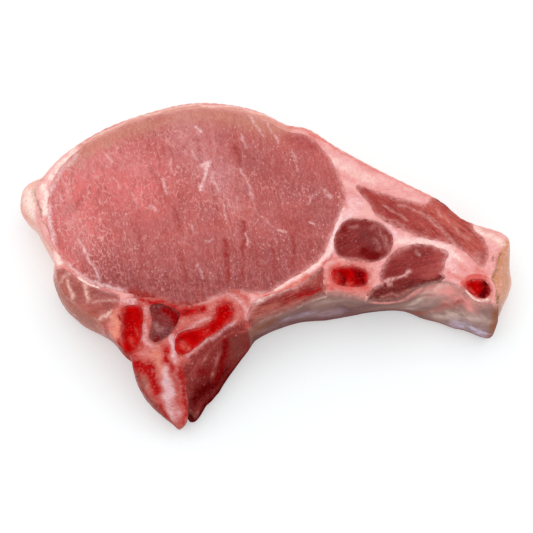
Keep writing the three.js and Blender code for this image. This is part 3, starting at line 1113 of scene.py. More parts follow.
    def _paint(self, mesh: bpy.types.Mesh, piece: Piece, cut: Cut, plan: np.ndarray, space: np.ndarray,
               below: np.ndarray) -> None:
        """Writes the painted layers and the neighbours' colours to a mesh.

        Args:
            mesh: the piece's mesh.
            piece: the piece.
            cut: its share of the cut face.
            plan: the mesh points in plan.
            space: the mesh points in space.
            below: how far each wall point lies below the rim.
        """
        outer = nearest(plan, self.body.loop)[0]
        side = smooth_step(below, 0.0, self.SIDE_START) * (outer < self.ON_EDGE)
        rim = self.RIM_SHARE * np.exp(-((outer / self.RIM_WIDTH) ** 2)) * (outer < self.RIM_REACH)
        side = np.maximum(side, rim)
        others = [self.owner.get((int(cut.names[j]), int(cut.names[i])), -1) for i, j in cut.border]
        beside = [(k, other) for ends, other in zip(cut.border, others) for k in ends if other >= 0]
        joint, row = nearest(plan, cut.plan[[k for k, _ in beside]])
        joint = np.hypot(joint, self.DEPTH_SHARE * below)
        corners = [at for at, (k, _) in enumerate(beside) if outer[k] < self.ON_EDGE]
        if corners and not piece.is_skin:
            gap, pick = nearest(plan, cut.plan[[beside[at][0] for at in corners]])
            joint = np.where(side > 0.5, gap, joint)
            row = np.where(side > 0.5, np.array(corners)[pick], row)
        tones = np.array([linear(self.pieces[other].finish.base) for _, other in beside])[row]
        layer = mesh.attributes.new(BESIDE, "FLOAT_COLOR", "POINT")
        layer.data.foreach_set("color", tones.astype(np.float32).ravel())
        for paint, values in piece.paint(space, plan, joint, side).items():
            layer = mesh.attributes.new(paint.value, "FLOAT", "POINT")
            layer.data.foreach_set("value", values.astype(np.float32))

    def build(self, number: int) -> bpy.types.Object:
        """Builds one piece's closed mesh and dresses it.

        Args:
            number: the piece's place in the list.

        Returns:
            The finished object.
        """
        piece, body, cut = self.pieces[number], self.body, self._cut(number)
        foot_plan, foot_triangles = self._foot(number, cut)
        rim_plan = cut.plan[cut.rim]
        top = piece.top(body, cut.plan, nearest(cut.plan, rim_plan)[0], nearest(cut.plan, body.loop)[0])
        low, high = body.base(rim_plan), top[cut.rim]
        walls = [low + (high - low) * level for level in reversed(self.LEVELS)]
        plan = np.concatenate([cut.plan] + [rim_plan] * len(walls) + [foot_plan])
        space = body.place(plan, np.concatenate([top, *walls, body.base(foot_plan)]))
        below = np.concatenate([np.zeros(len(top)), *(high - wall for wall in walls), np.zeros(len(foot_plan))])
        mesh = bpy.data.meshes.new(piece.node)
        mesh.from_pydata((space * MM).tolist(), [], self._faces(cut, foot_plan, foot_triangles))
        mesh.validate()
        mesh.shade_smooth()
        mesh.set_sharp_from_angle(angle=math.radians(self.SHARP_ANGLE))
        self._paint(mesh, piece, cut, plan, space, below)
        mesh.materials.append(piece.finish.dress(piece.node))
        thing = bpy.data.objects.new(piece.node + "_look", mesh)
        bpy.context.scene.collection.objects.link(thing)
        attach(thing, "root")
        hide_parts(piece.node)
        return thing


@dataclass(frozen=True)
class SideSkins:
    """The thin layers that cover the rib side: dark flank meat and pale membrane."""

    flank_outline: Rows = (
        (-6, -22), (-5.6, -29), (-8, -45), (-20, -60), (-27.2, -60), (-27.2, -46), (-20, -30),
    )
    membrane_outline: Rows = (
        (-7, -20), (-8, -34), (20, -34), (76, -30), (90, -20), (77, -14), (60, 0), (10, -8),
    )
    FLANK_MEAT_MARKS: ClassVar[Marks] = {
        Paint.DEEP: (
            # Dark red along the side's crease: painted shade in the crease.
            Strand(((-12.4, -27.9, 23.6), (-13.5, -31.7, 18.4), (-15.2, -35.4, 15.0),
                    (-16.4, -38.4, 13.4)), 1.7, 1.1),
            Strand(((-21.6, -38.5, 21.5), (-20.0, -38.7, 19.7), (-18.4, -37.5, 19.2)), 1.1, 0.9),
        ),
        Paint.VEIL: (
            Strand(((-23.8, -47.4, 16.2), (-21.7, -44.4, 15.2), (-18.5, -41.8, 13.4),
                    (-14.2, -36.9, 11.9)), 4.2, 1.0),
            Strand(((-23, -50, 6), (-20, -46, 5), (-14, -38, 4), (-10, -32, 3)), 5.4, 1.0),
        ),
        Paint.PALE: (
            # Pale streak on the ridge by the tip: a painted highlight.
            Strand(((-25.1, -50.1, 10.4), (-24.1, -50.6, 7.5), (-23.0, -49.8, 9.0)), 1.5, 0.7),
            Strand(((-14.5, -27.5, 24.4), (-18.3, -32.3, 23.5), (-20.5, -36.0, 22.7)), 0.6, 0.6),
            Strand(((-17.9, -39.5, 16.0), (-16.2, -35.2, 19.1), (-14.8, -32.2, 20.7)), 0.6, 0.6),
        ),
        Paint.WARM: (
            Strand(((-9.1, -26.8, 23.7), (-9.2, -29.1, 19.2), (-8.7, -30.7, 11.9)), 3.2, 0.8),
        ),
        Paint.COOL: (
            Strand(((-25.6, -38.1, 22.0), (-25.7, -42.6, 17.4), (-25.4, -47.4, 13.5), (-26.4, -51, 6)), 1.7, 1.1),
            # Dark at the crevice where the flank meets the membrane: painted shade.
            Strand(((-4.6, -24.9, 24.0), (-4.6, -25.5, 18.5), (-3.8, -25.8, 10.0)), 1.6, 0.6),
        ),
    }
    INNER_MEMBRANE_MARKS: ClassVar[Marks] = {
        Paint.DEEP: (
            # Dark red line under the fold's upper lip: painted shade in the fold.
            Strand(((51.6, -14.7, 7.0), (55.4, -15.0, 11.5), (59.0, -14.8, 14.5), (62.1, -14.7, 16.9),
                    (65.1, -14.5, 19.9)), 1.1, 0.8),
            Strand(((40.0, -15.6, 12.0), (46.8, -13.4, 5.7), (51.2, -14.3, 4.2), (56, -16.4, 2.6),
                    (62.3, -18.3, 2.4), (68.0, -20.1, 2.5), (73.6, -22.3, 3.0)), 1.0, 0.6),
            Strand(((5.0, -18.0, 1.5), (21.7, -16.0, 2.5), (33.0, -14.9, 2.0)), 1.2, 0.4),
        ),
        Paint.PALE: (
            Strand(((57.9, -16.3, 9.9), (64.5, -17.2, 14.2), (69.6, -18.6, 17.0), (72.2, -19.4, 17.0)), 2.8, 0.6),
            Strand(((48.6, -13.6, 12.0), (53.0, -12.6, 16.0), (57.4, -11.6, 19.6)), 1.8, 0.6),
            Strand(((47.9, -14.6, 16.5), (52.3, -12.7, 20.5), (58.3, -9.7, 23.6)), 1.5, 0.5),
            Strand(((17.5, -15.3, 21.0), (23.1, -14.3, 21.0), (28.6, -13.9, 22.4)), 1.4, 0.25),
            Strand(((-0.9, -22.4, 24.0), (5.6, -19.7, 24.0), (11.7, -17.2, 24.0), (20.1, -13.9, 23.5)), 0.6, 0.5),
        ),
        Paint.VEIL: (
            Strand(((54.0, -9.8, 22.0), (59.7, -10.5, 21.6), (63.0, -12.2, 20.6), (67.0, -15.3, 21.0)), 3.2, 1.1),
            Strand(((60.0, -13.6, 17.6), (64.0, -14.6, 20.4)), 1.8, 0.8),
            Strand(((36, -16, 23.5), (44.5, -15.4, 23.5), (51, -11.2, 23.5)), 1.6, 0.8),
        ),
        Paint.COOL: (
            # Darker at the left-hand fold: painted shade in the fold.
            Strand(((26.6, -15.5, 13.5), (28.5, -14.9, 11.7), (34.7, -15.5, 19.0)), 3.0, 0.7),
            Strand(((3.4, -21.0, 13.8), (11.8, -17.7, 9.2), (21.9, -16.1, 6.8)), 1.0, 0.6),
            # Dark at the crevice where the membrane meets the flank: painted shade.
            Strand(((-5.6, -26.4, 18), (-3.4, -25.2, 12), (0, -23.4, 4)), 2.0, 0.7),
        ),
        Paint.STAIN: (
            Strand(((-2, -23, 8), (10, -17.5, 6), (22, -15.6, 5), (34, -14.6, 4), (44, -14, 3)), 6.0, 0.8),
            Strand(((2, -22, 16), (12, -18, 14), (22, -15, 12)), 5.0, 0.5),
        ),
        Paint.HAZE: (
            # Lilac-grey patches: partly the membrane's own tone, partly a painted bluish sheen.
            Strand(((64.4, -19.4, 7.7), (68.8, -21.0, 9.9), (72.2, -22.3, 8.3)), 3.2, 0.8),
            Strand(((69.0, -20.6, 3.0), (74.0, -22.3, 4.0)), 2.0, 0.4),
            Strand(((8.0, -18.6, 17.0), (16.0, -15.8, 14.0), (24.0, -15.0, 12.0)), 2.6, 0.3),
        ),
        Paint.WARM: (
            Strand(((-3.2, -23.4, 20.5), (-1.0, -22.8, 18.0), (1.7, -21.4, 19.2)), 3.0, 0.8),
            Strand(((-6.4, -26.9, 21.9), (-4.3, -26.0, 15.9), (-2, -24.5, 8)), 2.4, 0.9),
            # Brown line down the right-hand corner: painted shade, running on from the rib end's edge.
            Strand(((75.7, -16.0, 24), (76.2, -18.0, 22), (75.9, -20.0, 18.5), (75.7, -21.8, 14),
                    (75.6, -23.2, 9.0), (75.6, -23.2, 2.0)), 1.2, 1.4),
        ),
    }

    def pieces(self) -> list[Piece]:
        """Lists the pieces of the group.

        Returns:
            The flank meat and the membrane.
        """
        flank = Piece(
            "flank_meat", "dark_meat",
            Finish(base=(140, 52, 50), mottle=(126, 38, 36), fleck=(166, 84, 78), pore=(92, 12, 12), pore_share=0.4,
                   layers={Paint.DEEP: (124, 4, 6), Paint.PALE: (202, 120, 112), Paint.COOL: (112, 60, 64),
                           Paint.WARM: (120, 58, 52), Paint.VEIL: (88, 2, 4)}, line_share=0.25, fleck_share=0.25,
                   bump=0.25, roughness=0.34, gloss=0.0, grain_turn=50, painted_glint_share=0.25),
            self.flank_outline, is_skin=True, sink=0.05, crown=0.0, rounding=0.8, border_width=0.7, border_share=0.3,
            paints=self.FLANK_MEAT_MARKS)
        membrane = Piece(
            "inner_membrane", "membrane",
            Finish(base=(149, 114, 107), mottle=(131, 96, 91), fleck=(180, 150, 143), pore=(113, 75, 71),
                   pore_share=0.1, fleck_share=0.1, line_share=0.1, fleck_size=3.0, mottle_size=12,
                   layers={Paint.DEEP: (160, 76, 68), Paint.PALE: (216, 186, 176), Paint.COOL: (108, 72, 76),
                           Paint.WARM: (140, 82, 54), Paint.VEIL: (226, 146, 140), Paint.HAZE: (200, 184, 204),
                           Paint.STAIN: (110, 70, 74)},
                   grain_stretch=5.0, bump=0.05, roughness=0.3, gloss=0.0, painted_glint_share=0.0,
                   wisp_size=(7.0, 4.0, 3.0)),
            self.membrane_outline, is_skin=True, sink=0.05, crown=0.0, rounding=0.8, border_width=1.3,
            paints=self.INNER_MEMBRANE_MARKS)
        return [flank, membrane]


@dataclass(frozen=True)
class Marrow:
    """The look of red marrow, shared by every sawn bone."""

    finish: Finish = Finish(
        base=(170, 1, 3), mottle=(196, 4, 6), fleck=(206, 20, 18), pore=(112, 0, 1), pore_share=0.7,
        layers={Paint.DEEP: (92, 4, 8), Paint.PALE: (214, 86, 76), Paint.SIDE: (138, 26, 24)},
        fleck_size=0.8, grain_stretch=1.2, fleck_share=0.25, mottle_size=3.0, line_share=0.1, bump=0.4,
        roughness=0.28, gloss=0.0)

    def piece(self, node: str, outline: Rows, sink: float, crown: float, paints: Marks) -> Piece:
        """Makes one field of marrow.

        Args:
            node: the piece's name.
            outline: its outline on the cut face.
            sink: depth of its rim below the face.
            crown: how far its middle rises again.
            paints: its painted layers.

        Returns:
            The piece.
        """
        return Piece(
            node, "marrow", self.finish, outline, sink=sink, crown=crown, relief=0.3, relief_size=(1.5, 1.5, 1.5),
            seam=0.0, border_width=0.8, border_share=0.4, waver=0.4, paints=paints)


@dataclass(frozen=True)
class Backbone:
    """The sawn backbone with its marrow and the soft tissue in its canal."""

    chine_marrow: Rows = (
        (-46.0, -17.8), (-43.8, -16.5), (-40.8, -17.2), (-39.6, -20.4), (-39.9, -25.6), (-41.0, -30.8),
        (-43.4, -33.2), (-46.0, -31.6), (-46.1, -25.0),
    )
    canal: Rows = (
        (-37.4, -17.4), (-34.6, -16.2), (-31, -17.2), (-27.8, -19.6), (-29, -23.6), (-32, -27.8), (-35, -29.4),
        (-37.2, -28), (-36.6, -22),
    )
    arch_marrow: Rows = (
        (-27, -20.8), (-24, -20), (-21, -18.2), (-23.5, -17.6), (-26.6, -19),
    )
    arm_marrow: Rows = (
        (-29.1, -30.2), (-28.4, -26.6), (-24.6, -24.9), (-20.5, -24), (-16.6, -21.4), (-15.7, -17.2),
        (-12.6, -16.2), (-10.6, -17.4), (-10.6, -20.6), (-13.6, -24.2), (-20.2, -29.2), (-25.4, -33.3),
        (-28.2, -33.6),
    )
    bone: Rows = (
        (-51, -22), (-49.4, -18.4), (-46, -15.2), (-41, -14.4), (-34.5, -14.6), (-29, -17), (-22, -16.5),
        (-16, -14.4), (-9.5, -12.2), (-5.4, -13), (-4.6, -17), (-6.4, -21), (-3, -27), (-16, -70), (-60, -70),
        (-56, -30),
    )
    MARROW_CHINE_MARKS: ClassVar[Marks] = {
        Paint.PALE: (
            Strand(((-43.3, -28.6), (-42.8, -30.4)), 0.9, 0.5),
            Strand(((-42, -24.5), (-41.4, -27)), 0.5, 0.4),
        ),
        Paint.DEEP: (
            Strand(((-45.4, -20), (-45.6, -28)), 0.5, 0.4),
        ),
    }
    CANAL_TISSUE_MARKS: ClassVar[Marks] = {
        Paint.DEEP: (
            Strand(((-32.6, -18.0), (-30.2, -19.8), (-28.8, -22.4)), 1.5, 1.1),
            Strand(((-35.6, -28.7), (-34.7, -28.0)), 1.0, 0.7, -0.5),
            Strand(((-38.1, -18.3), (-37.4, -21.3)), 1.0, 0.5),
        ),
        Paint.PALE: (
            Strand(((-35.6, -23.6), (-34.6, -25.4)), 1.1, 0.6, 0.3),
            Strand(((-33.7, -26.0), (-32.8, -24.6)), 0.9, 0.5),
        ),
        Paint.COOL: (
            Strand(((-36.4, -24.0), (-34.6, -27.8), (-31.6, -26.4)), 1.8, 0.8),
        ),
    }
    MARROW_ARCH_MARKS: ClassVar[Marks] = {
        Paint.DEEP: (
            Strand(((-26.4, -19.6), (-25.4, -19.4)), 0.8, 0.4),
        ),
    }
    MARROW_ARM_MARKS: ClassVar[Marks] = {
        Paint.PALE: (
            Strand(((-26.5, -30.2), (-25, -31.2)), 1.0, 0.7),
            Strand(((-20, -26), (-18.6, -25.4)), 0.6, 0.4),
        ),
        Paint.DEEP: (
            Strand(((-27.2, -28.6), (-26.6, -29.8)), 0.7, 0.4),
        ),
    }
    BACKBONE_MARKS: ClassVar[Marks] = {
        Paint.PALE: (
            Strand(((-30.0, -27.6), (-29.6, -31.4), (-29.7, -34.7)), 0.8, 1.0, 0.2),
            Strand(((-32.4, -38.4), (-32.0, -41.0), (-31.2, -44.0)), 1.25, 1.0, 0.3),
            Strand(((-31.6, -43.0), (-30.4, -46.6), (-29.6, -49.0)), 0.9, 0.7, 0.2),
            Strand(((-39.5, -23.5), (-38.9, -28.6), (-37.2, -30.9)), 0.8, 0.5),
            Strand(((-38.8, -17.9), (-38.6, -20.3)), 0.9, 0.4),
            Strand(((-46.5, -14.9), (-44.6, -14.8), (-42.7, -15.6)), 1.3, 0.9, 0.2),
            Strand(((-29.2, -28.6), (-28.1, -26.4), (-23.8, -24.1), (-18.4, -20.8)), 0.6, 0.5),
            Strand(((-24.8, -33.9), (-20.5, -30.3), (-14.0, -25.9), (-9.7, -22.6)), 0.6, 0.45),
            Strand(((-12.0, -12.9), (-8.1, -15.2), (-5.4, -20.3)), 0.8, 0.5),
        ),
        Paint.DEEP: (
            Strand(((-41.5, -36.6), (-39.3, -37.6), (-36.8, -37.2)), 1.7, 1.1),
            Strand(((-37.4, -38.8), (-36.1, -40.6), (-34.9, -43.0)), 1.3, 1.1),
            Strand(((-32.3, -32.0), (-32.3, -35.2), (-30.4, -37.2)), 1.2, 1.0),
            Strand(((-27.6, -37.2), (-27.4, -42.0), (-27.5, -47.6), (-27.9, -52.8)), 1.0, 0.8),
            Strand(((-34.2, -44.8), (-32.6, -48.0), (-29.4, -51.6)), 0.8, 0.6),
            Strand(((-30.4, -38.0), (-29.2, -42.0), (-28.6, -46.6), (-28.2, -50.6)), 0.9, 0.4),
            Strand(((-47.2, -20.3), (-46.9, -21.6)), 0.5, 0.8, -0.6),
            Strand(((-47.7, -28.6), (-47.2, -30.2)), 0.7, 0.9, -0.6),
            Strand(((-44.8, -32.6), (-43.0, -33.8), (-41.4, -35.0)), 0.9, 0.5),
            Strand(((-28.6, -19.8), (-24.4, -19.0), (-19.8, -18.3)), 1.3, 1.2),
            Strand(((-41.1, -14.9), (-39.2, -15.3), (-36.5, -15.4)), 0.8, 1.0),
            Strand(((-30.6, -17.6), (-27.4, -18.0), (-22, -17.0)), 0.6, 0.6),
            Strand(((-38.0, -15.8), (-33.4, -15.4), (-29.4, -17.2)), 0.7, 0.8),
            Strand(((-46.0, -18.0), (-46.4, -24.0), (-45.4, -31.0)), 0.6, 0.6),
            Strand(((-44.4, -16.6), (-41.6, -15.9), (-39.4, -17.4)), 0.5, 0.5),
            Strand(((-42.8, -33.0), (-40.4, -31.6), (-39.6, -28.6)), 0.5, 0.5),
            Strand(((-14.8, -15.8), (-11.0, -16.6), (-10.6, -20.6), (-13.6, -24.6)), 0.7, 0.6),
            Strand(((-29.4, -29.6), (-28.6, -26.0), (-24.0, -24.0)), 0.5, 0.5),
        ),
        Paint.COOL: (
            Strand(((-39.8, -41.2), (-38.4, -40.9), (-37.9, -40.2)), 1.3, 0.9, 0.1),
            Strand(((-37.4, -44.6), (-33.6, -47.6), (-30.2, -50.6)), 1.3, 0.8),
        ),
        Paint.HAZE: (
            Strand(((-32.6, -38.6), (-32.2, -41.6), (-31.2, -45.0)), 0.8, 0.9),
            Strand(((-29.8, -28.4), (-29.7, -33.6)), 0.5, 0.7),
        ),
        Paint.VEIL: (
            Strand(((-26.0, -39.0), (-23, -36.2), (-18, -31.2), (-12.6, -26.4), (-7.5, -24.2)), 2.3, 1.15),
            Strand(((-43.1, -35.4), (-42.1, -37.6), (-39.0, -42.5), (-33.0, -47.7), (-30.0, -49.8)), 0.7, 0.7),
            Strand(((-41.8, -38.1, 21.9), (-40.5, -41.6, 18.9), (-37.9, -46.2, 14.7), (-34.7, -49.4, 11.9),
                    (-31.6, -51.2, 10.9), (-29.2, -53.1, 9.4)), 1.9, 1.1),
            Strand(((-42.0, -37.0, 12.0), (-38.0, -45.0, 8.0), (-32.0, -51.0, 5.0)), 5.0, 0.5),
            Strand(((-47.7, -29.4, 23.3), (-46.6, -31.0, 20.1), (-44.8, -32.5, 18.0)), 1.4, 0.8),
        ),
        Paint.WARM: (
            Strand(((-49.6, -18.9), (-48.6, -21.9), (-48.0, -25.3), (-49.4, -27.7)), 1.7, 0.9),
            Strand(((-35.6, -32.4), (-35.0, -35.2), (-34.2, -37.9)), 1.5, 0.6),
        ),
    }

    def pieces(self) -> list[Piece]:
        """Lists the pieces of the group.

        Returns:
            The marrow, the canal tissue and the bone.
        """
        marrow = Marrow()
        chine = marrow.piece("marrow_chine", self.chine_marrow, 0.25, 0.2, self.MARROW_CHINE_MARKS)
        canal = Piece(
            "canal_tissue", "canal_tissue",
            Finish(base=(134, 48, 48), mottle=(122, 34, 36), fleck=(182, 118, 114), pore=(84, 8, 12), pore_share=0.6,
                   layers={Paint.DEEP: (142, 4, 8), Paint.PALE: (182, 122, 120), Paint.COOL: (116, 52, 58)},
                   mottle_size=3.0, fleck_size=0.8, fleck_share=0.35, bump=0.4, roughness=0.32, gloss=0.0,
                   painted_glint_share=0.3),
            self.canal, sink=1.0, crown=0.5, relief=0.4, relief_size=(2, 2, 2), seam=0.0, waver=0.35,
            paints=self.CANAL_TISSUE_MARKS)
        arch = marrow.piece("marrow_arch", self.arch_marrow, 0.15, 0.1, self.MARROW_ARCH_MARKS)
        arm = marrow.piece("marrow_arm", self.arm_marrow, 0.25, 0.2, self.MARROW_ARM_MARKS)
        bone = Piece(
            "backbone", "bone",
            Finish(base=(212, 116, 108), mottle=(196, 86, 80), fleck=(236, 168, 158), pore=(170, 40, 38),
                   pore_share=0.4, fleck_share=0.4, line_share=0.5,
                   layers={Paint.PALE: (230, 180, 182), Paint.DEEP: (178, 12, 14), Paint.COOL: (160, 102, 86),
                           Paint.VEIL: (138, 50, 48), Paint.WARM: (234, 144, 120), Paint.SIDE: (160, 62, 52),
                           Paint.HAZE: (232, 196, 206)},
                   mottle_size=4.0, grain_stretch=1.6, bump=0.3, roughness=0.36, gloss=0.02),
            self.bone, crown=0.2, rounding=0.9, relief=0.25, relief_size=(2.4, 2.4, 2.4), seam=0.0,
            border_width=1.0, border_share=0.55,
            paints=self.BACKBONE_MARKS)
        return [chine, canal, arch, arm, bone]


@dataclass(frozen=True)
class Ribs:
    """The rib sawn across in two places, each with its marrow."""

    rib_marrow: Rows = (
        (22.2, -4.6), (26, -3.4), (31.4, -3.9), (34, -6), (33.4, -10.2), (28, -10.6), (22.8, -9),
    )
    rib: Rows = (
        (19.8, -4.0), (23.4, -1.4), (30, -1.2), (35.4, -2.6), (36.8, -7), (35, -12), (30, -17), (22, -16),
        (19.2, -9),
    )
    tip_marrow: Rows = (
        (65.3, -9.4), (68.2, -7.9), (71.6, -8.3), (73.7, -10.8), (73.6, -13.3), (71.4, -14.6), (68.2, -13.8),
        (66.0, -11.6),
    )
    tip: Rows = (
        (64.2, -9), (67.4, -6.4), (72, -6.6), (75.2, -9.6), (75.4, -14), (72, -19), (66, -17),
    )
    MARROW_RIB_MARKS: ClassVar[Marks] = {
        Paint.DEEP: (
            Strand(((30.6, -5.6), (31.6, -8.8)), 2.0, 0.7),
            Strand(((25, -6.4), (26, -9.4)), 1.4, 0.6),
        ),
        Paint.PALE: (
            Strand(((23.6, -8), (24, -6.8)), 0.8, 0.4),
            Strand(((27.0, -9.2), (28.5, -9.6)), 0.6, 0.5),
        ),
    }
    RIB_BONE_MARKS: ClassVar[Marks] = {
        Paint.WARM: (
            Strand(((22, -12.5), (28, -13.4), (34, -12)), 1.5, 0.7),
        ),
        Paint.VEIL: (
            Strand(((24, -3.2), (21.6, -5.4), (22.2, -9.4), (27, -11.2), (33.0, -10.8)), 1.1, 0.85),
        ),
        Paint.DEEP: (
            Strand(((20.6, -10.5), (22.4, -11.2)), 0.7, 0.5),
        ),
    }
    MARROW_TIP_MARKS: ClassVar[Marks] = {
        Paint.DEEP: (
            Strand(((72.8, -9.6), (72.9, -11.8), (71.4, -13.8)), 1.3, 1.0),
        ),
        Paint.PALE: (
            Strand(((67.3, -11.4), (68.4, -12.8)), 0.5, 0.5),
        ),
    }
    RIB_TIP_MARKS: ClassVar[Marks] = {
        Paint.PALE: (
            Strand(((66.2, -12.4), (67.9, -14.6), (70.2, -15.6), (72.6, -15.2)), 0.45, 0.85, 0.2),
        ),
        Paint.VEIL: (
            Strand(((65.4, -9.4), (67.6, -7.2), (72.8, -6.9)), 1.5, 1.0),
        ),
    }

    def pieces(self) -> list[Piece]:
        """Lists the pieces of the group.

        Returns:
            Both sawn ends of rib, each after its marrow.
        """
        marrow = Marrow()
        bone = Finish(
            base=(224, 148, 140), mottle=(212, 124, 118), fleck=(242, 190, 180), pore=(200, 96, 90), pore_share=0.25,
            layers={Paint.PALE: (246, 214, 206), Paint.DEEP: (196, 40, 38), Paint.WARM: (206, 112, 104),
                    Paint.VEIL: (212, 92, 86), Paint.SIDE: (205, 150, 140)},
            fleck_share=0.35, line_share=0.4, mottle_size=4.0, bump=0.2, roughness=0.36, gloss=0.04)
        rib_marrow = marrow.piece("marrow_rib", self.rib_marrow, 0.15, 0.1, self.MARROW_RIB_MARKS)
        rib = Piece("rib_bone", "bone", bone, self.rib, crown=0.0, relief=0.12, relief_size=(3.4, 3.4, 3.4), seam=0.0,
                    border_width=1.1, border_share=0.6, paints=self.RIB_BONE_MARKS)
        tip_marrow = marrow.piece("marrow_tip", self.tip_marrow, 0.3, 0.2, self.MARROW_TIP_MARKS)
        tip = Piece("rib_tip", "bone", bone, self.tip, crown=0.0, relief=0.1, relief_size=(3.4, 3.4, 3.4), seam=0.0,
                    border_width=1.1, border_share=0.6, paints=self.RIB_TIP_MARKS)
        return [rib_marrow, rib, tip_marrow, tip]


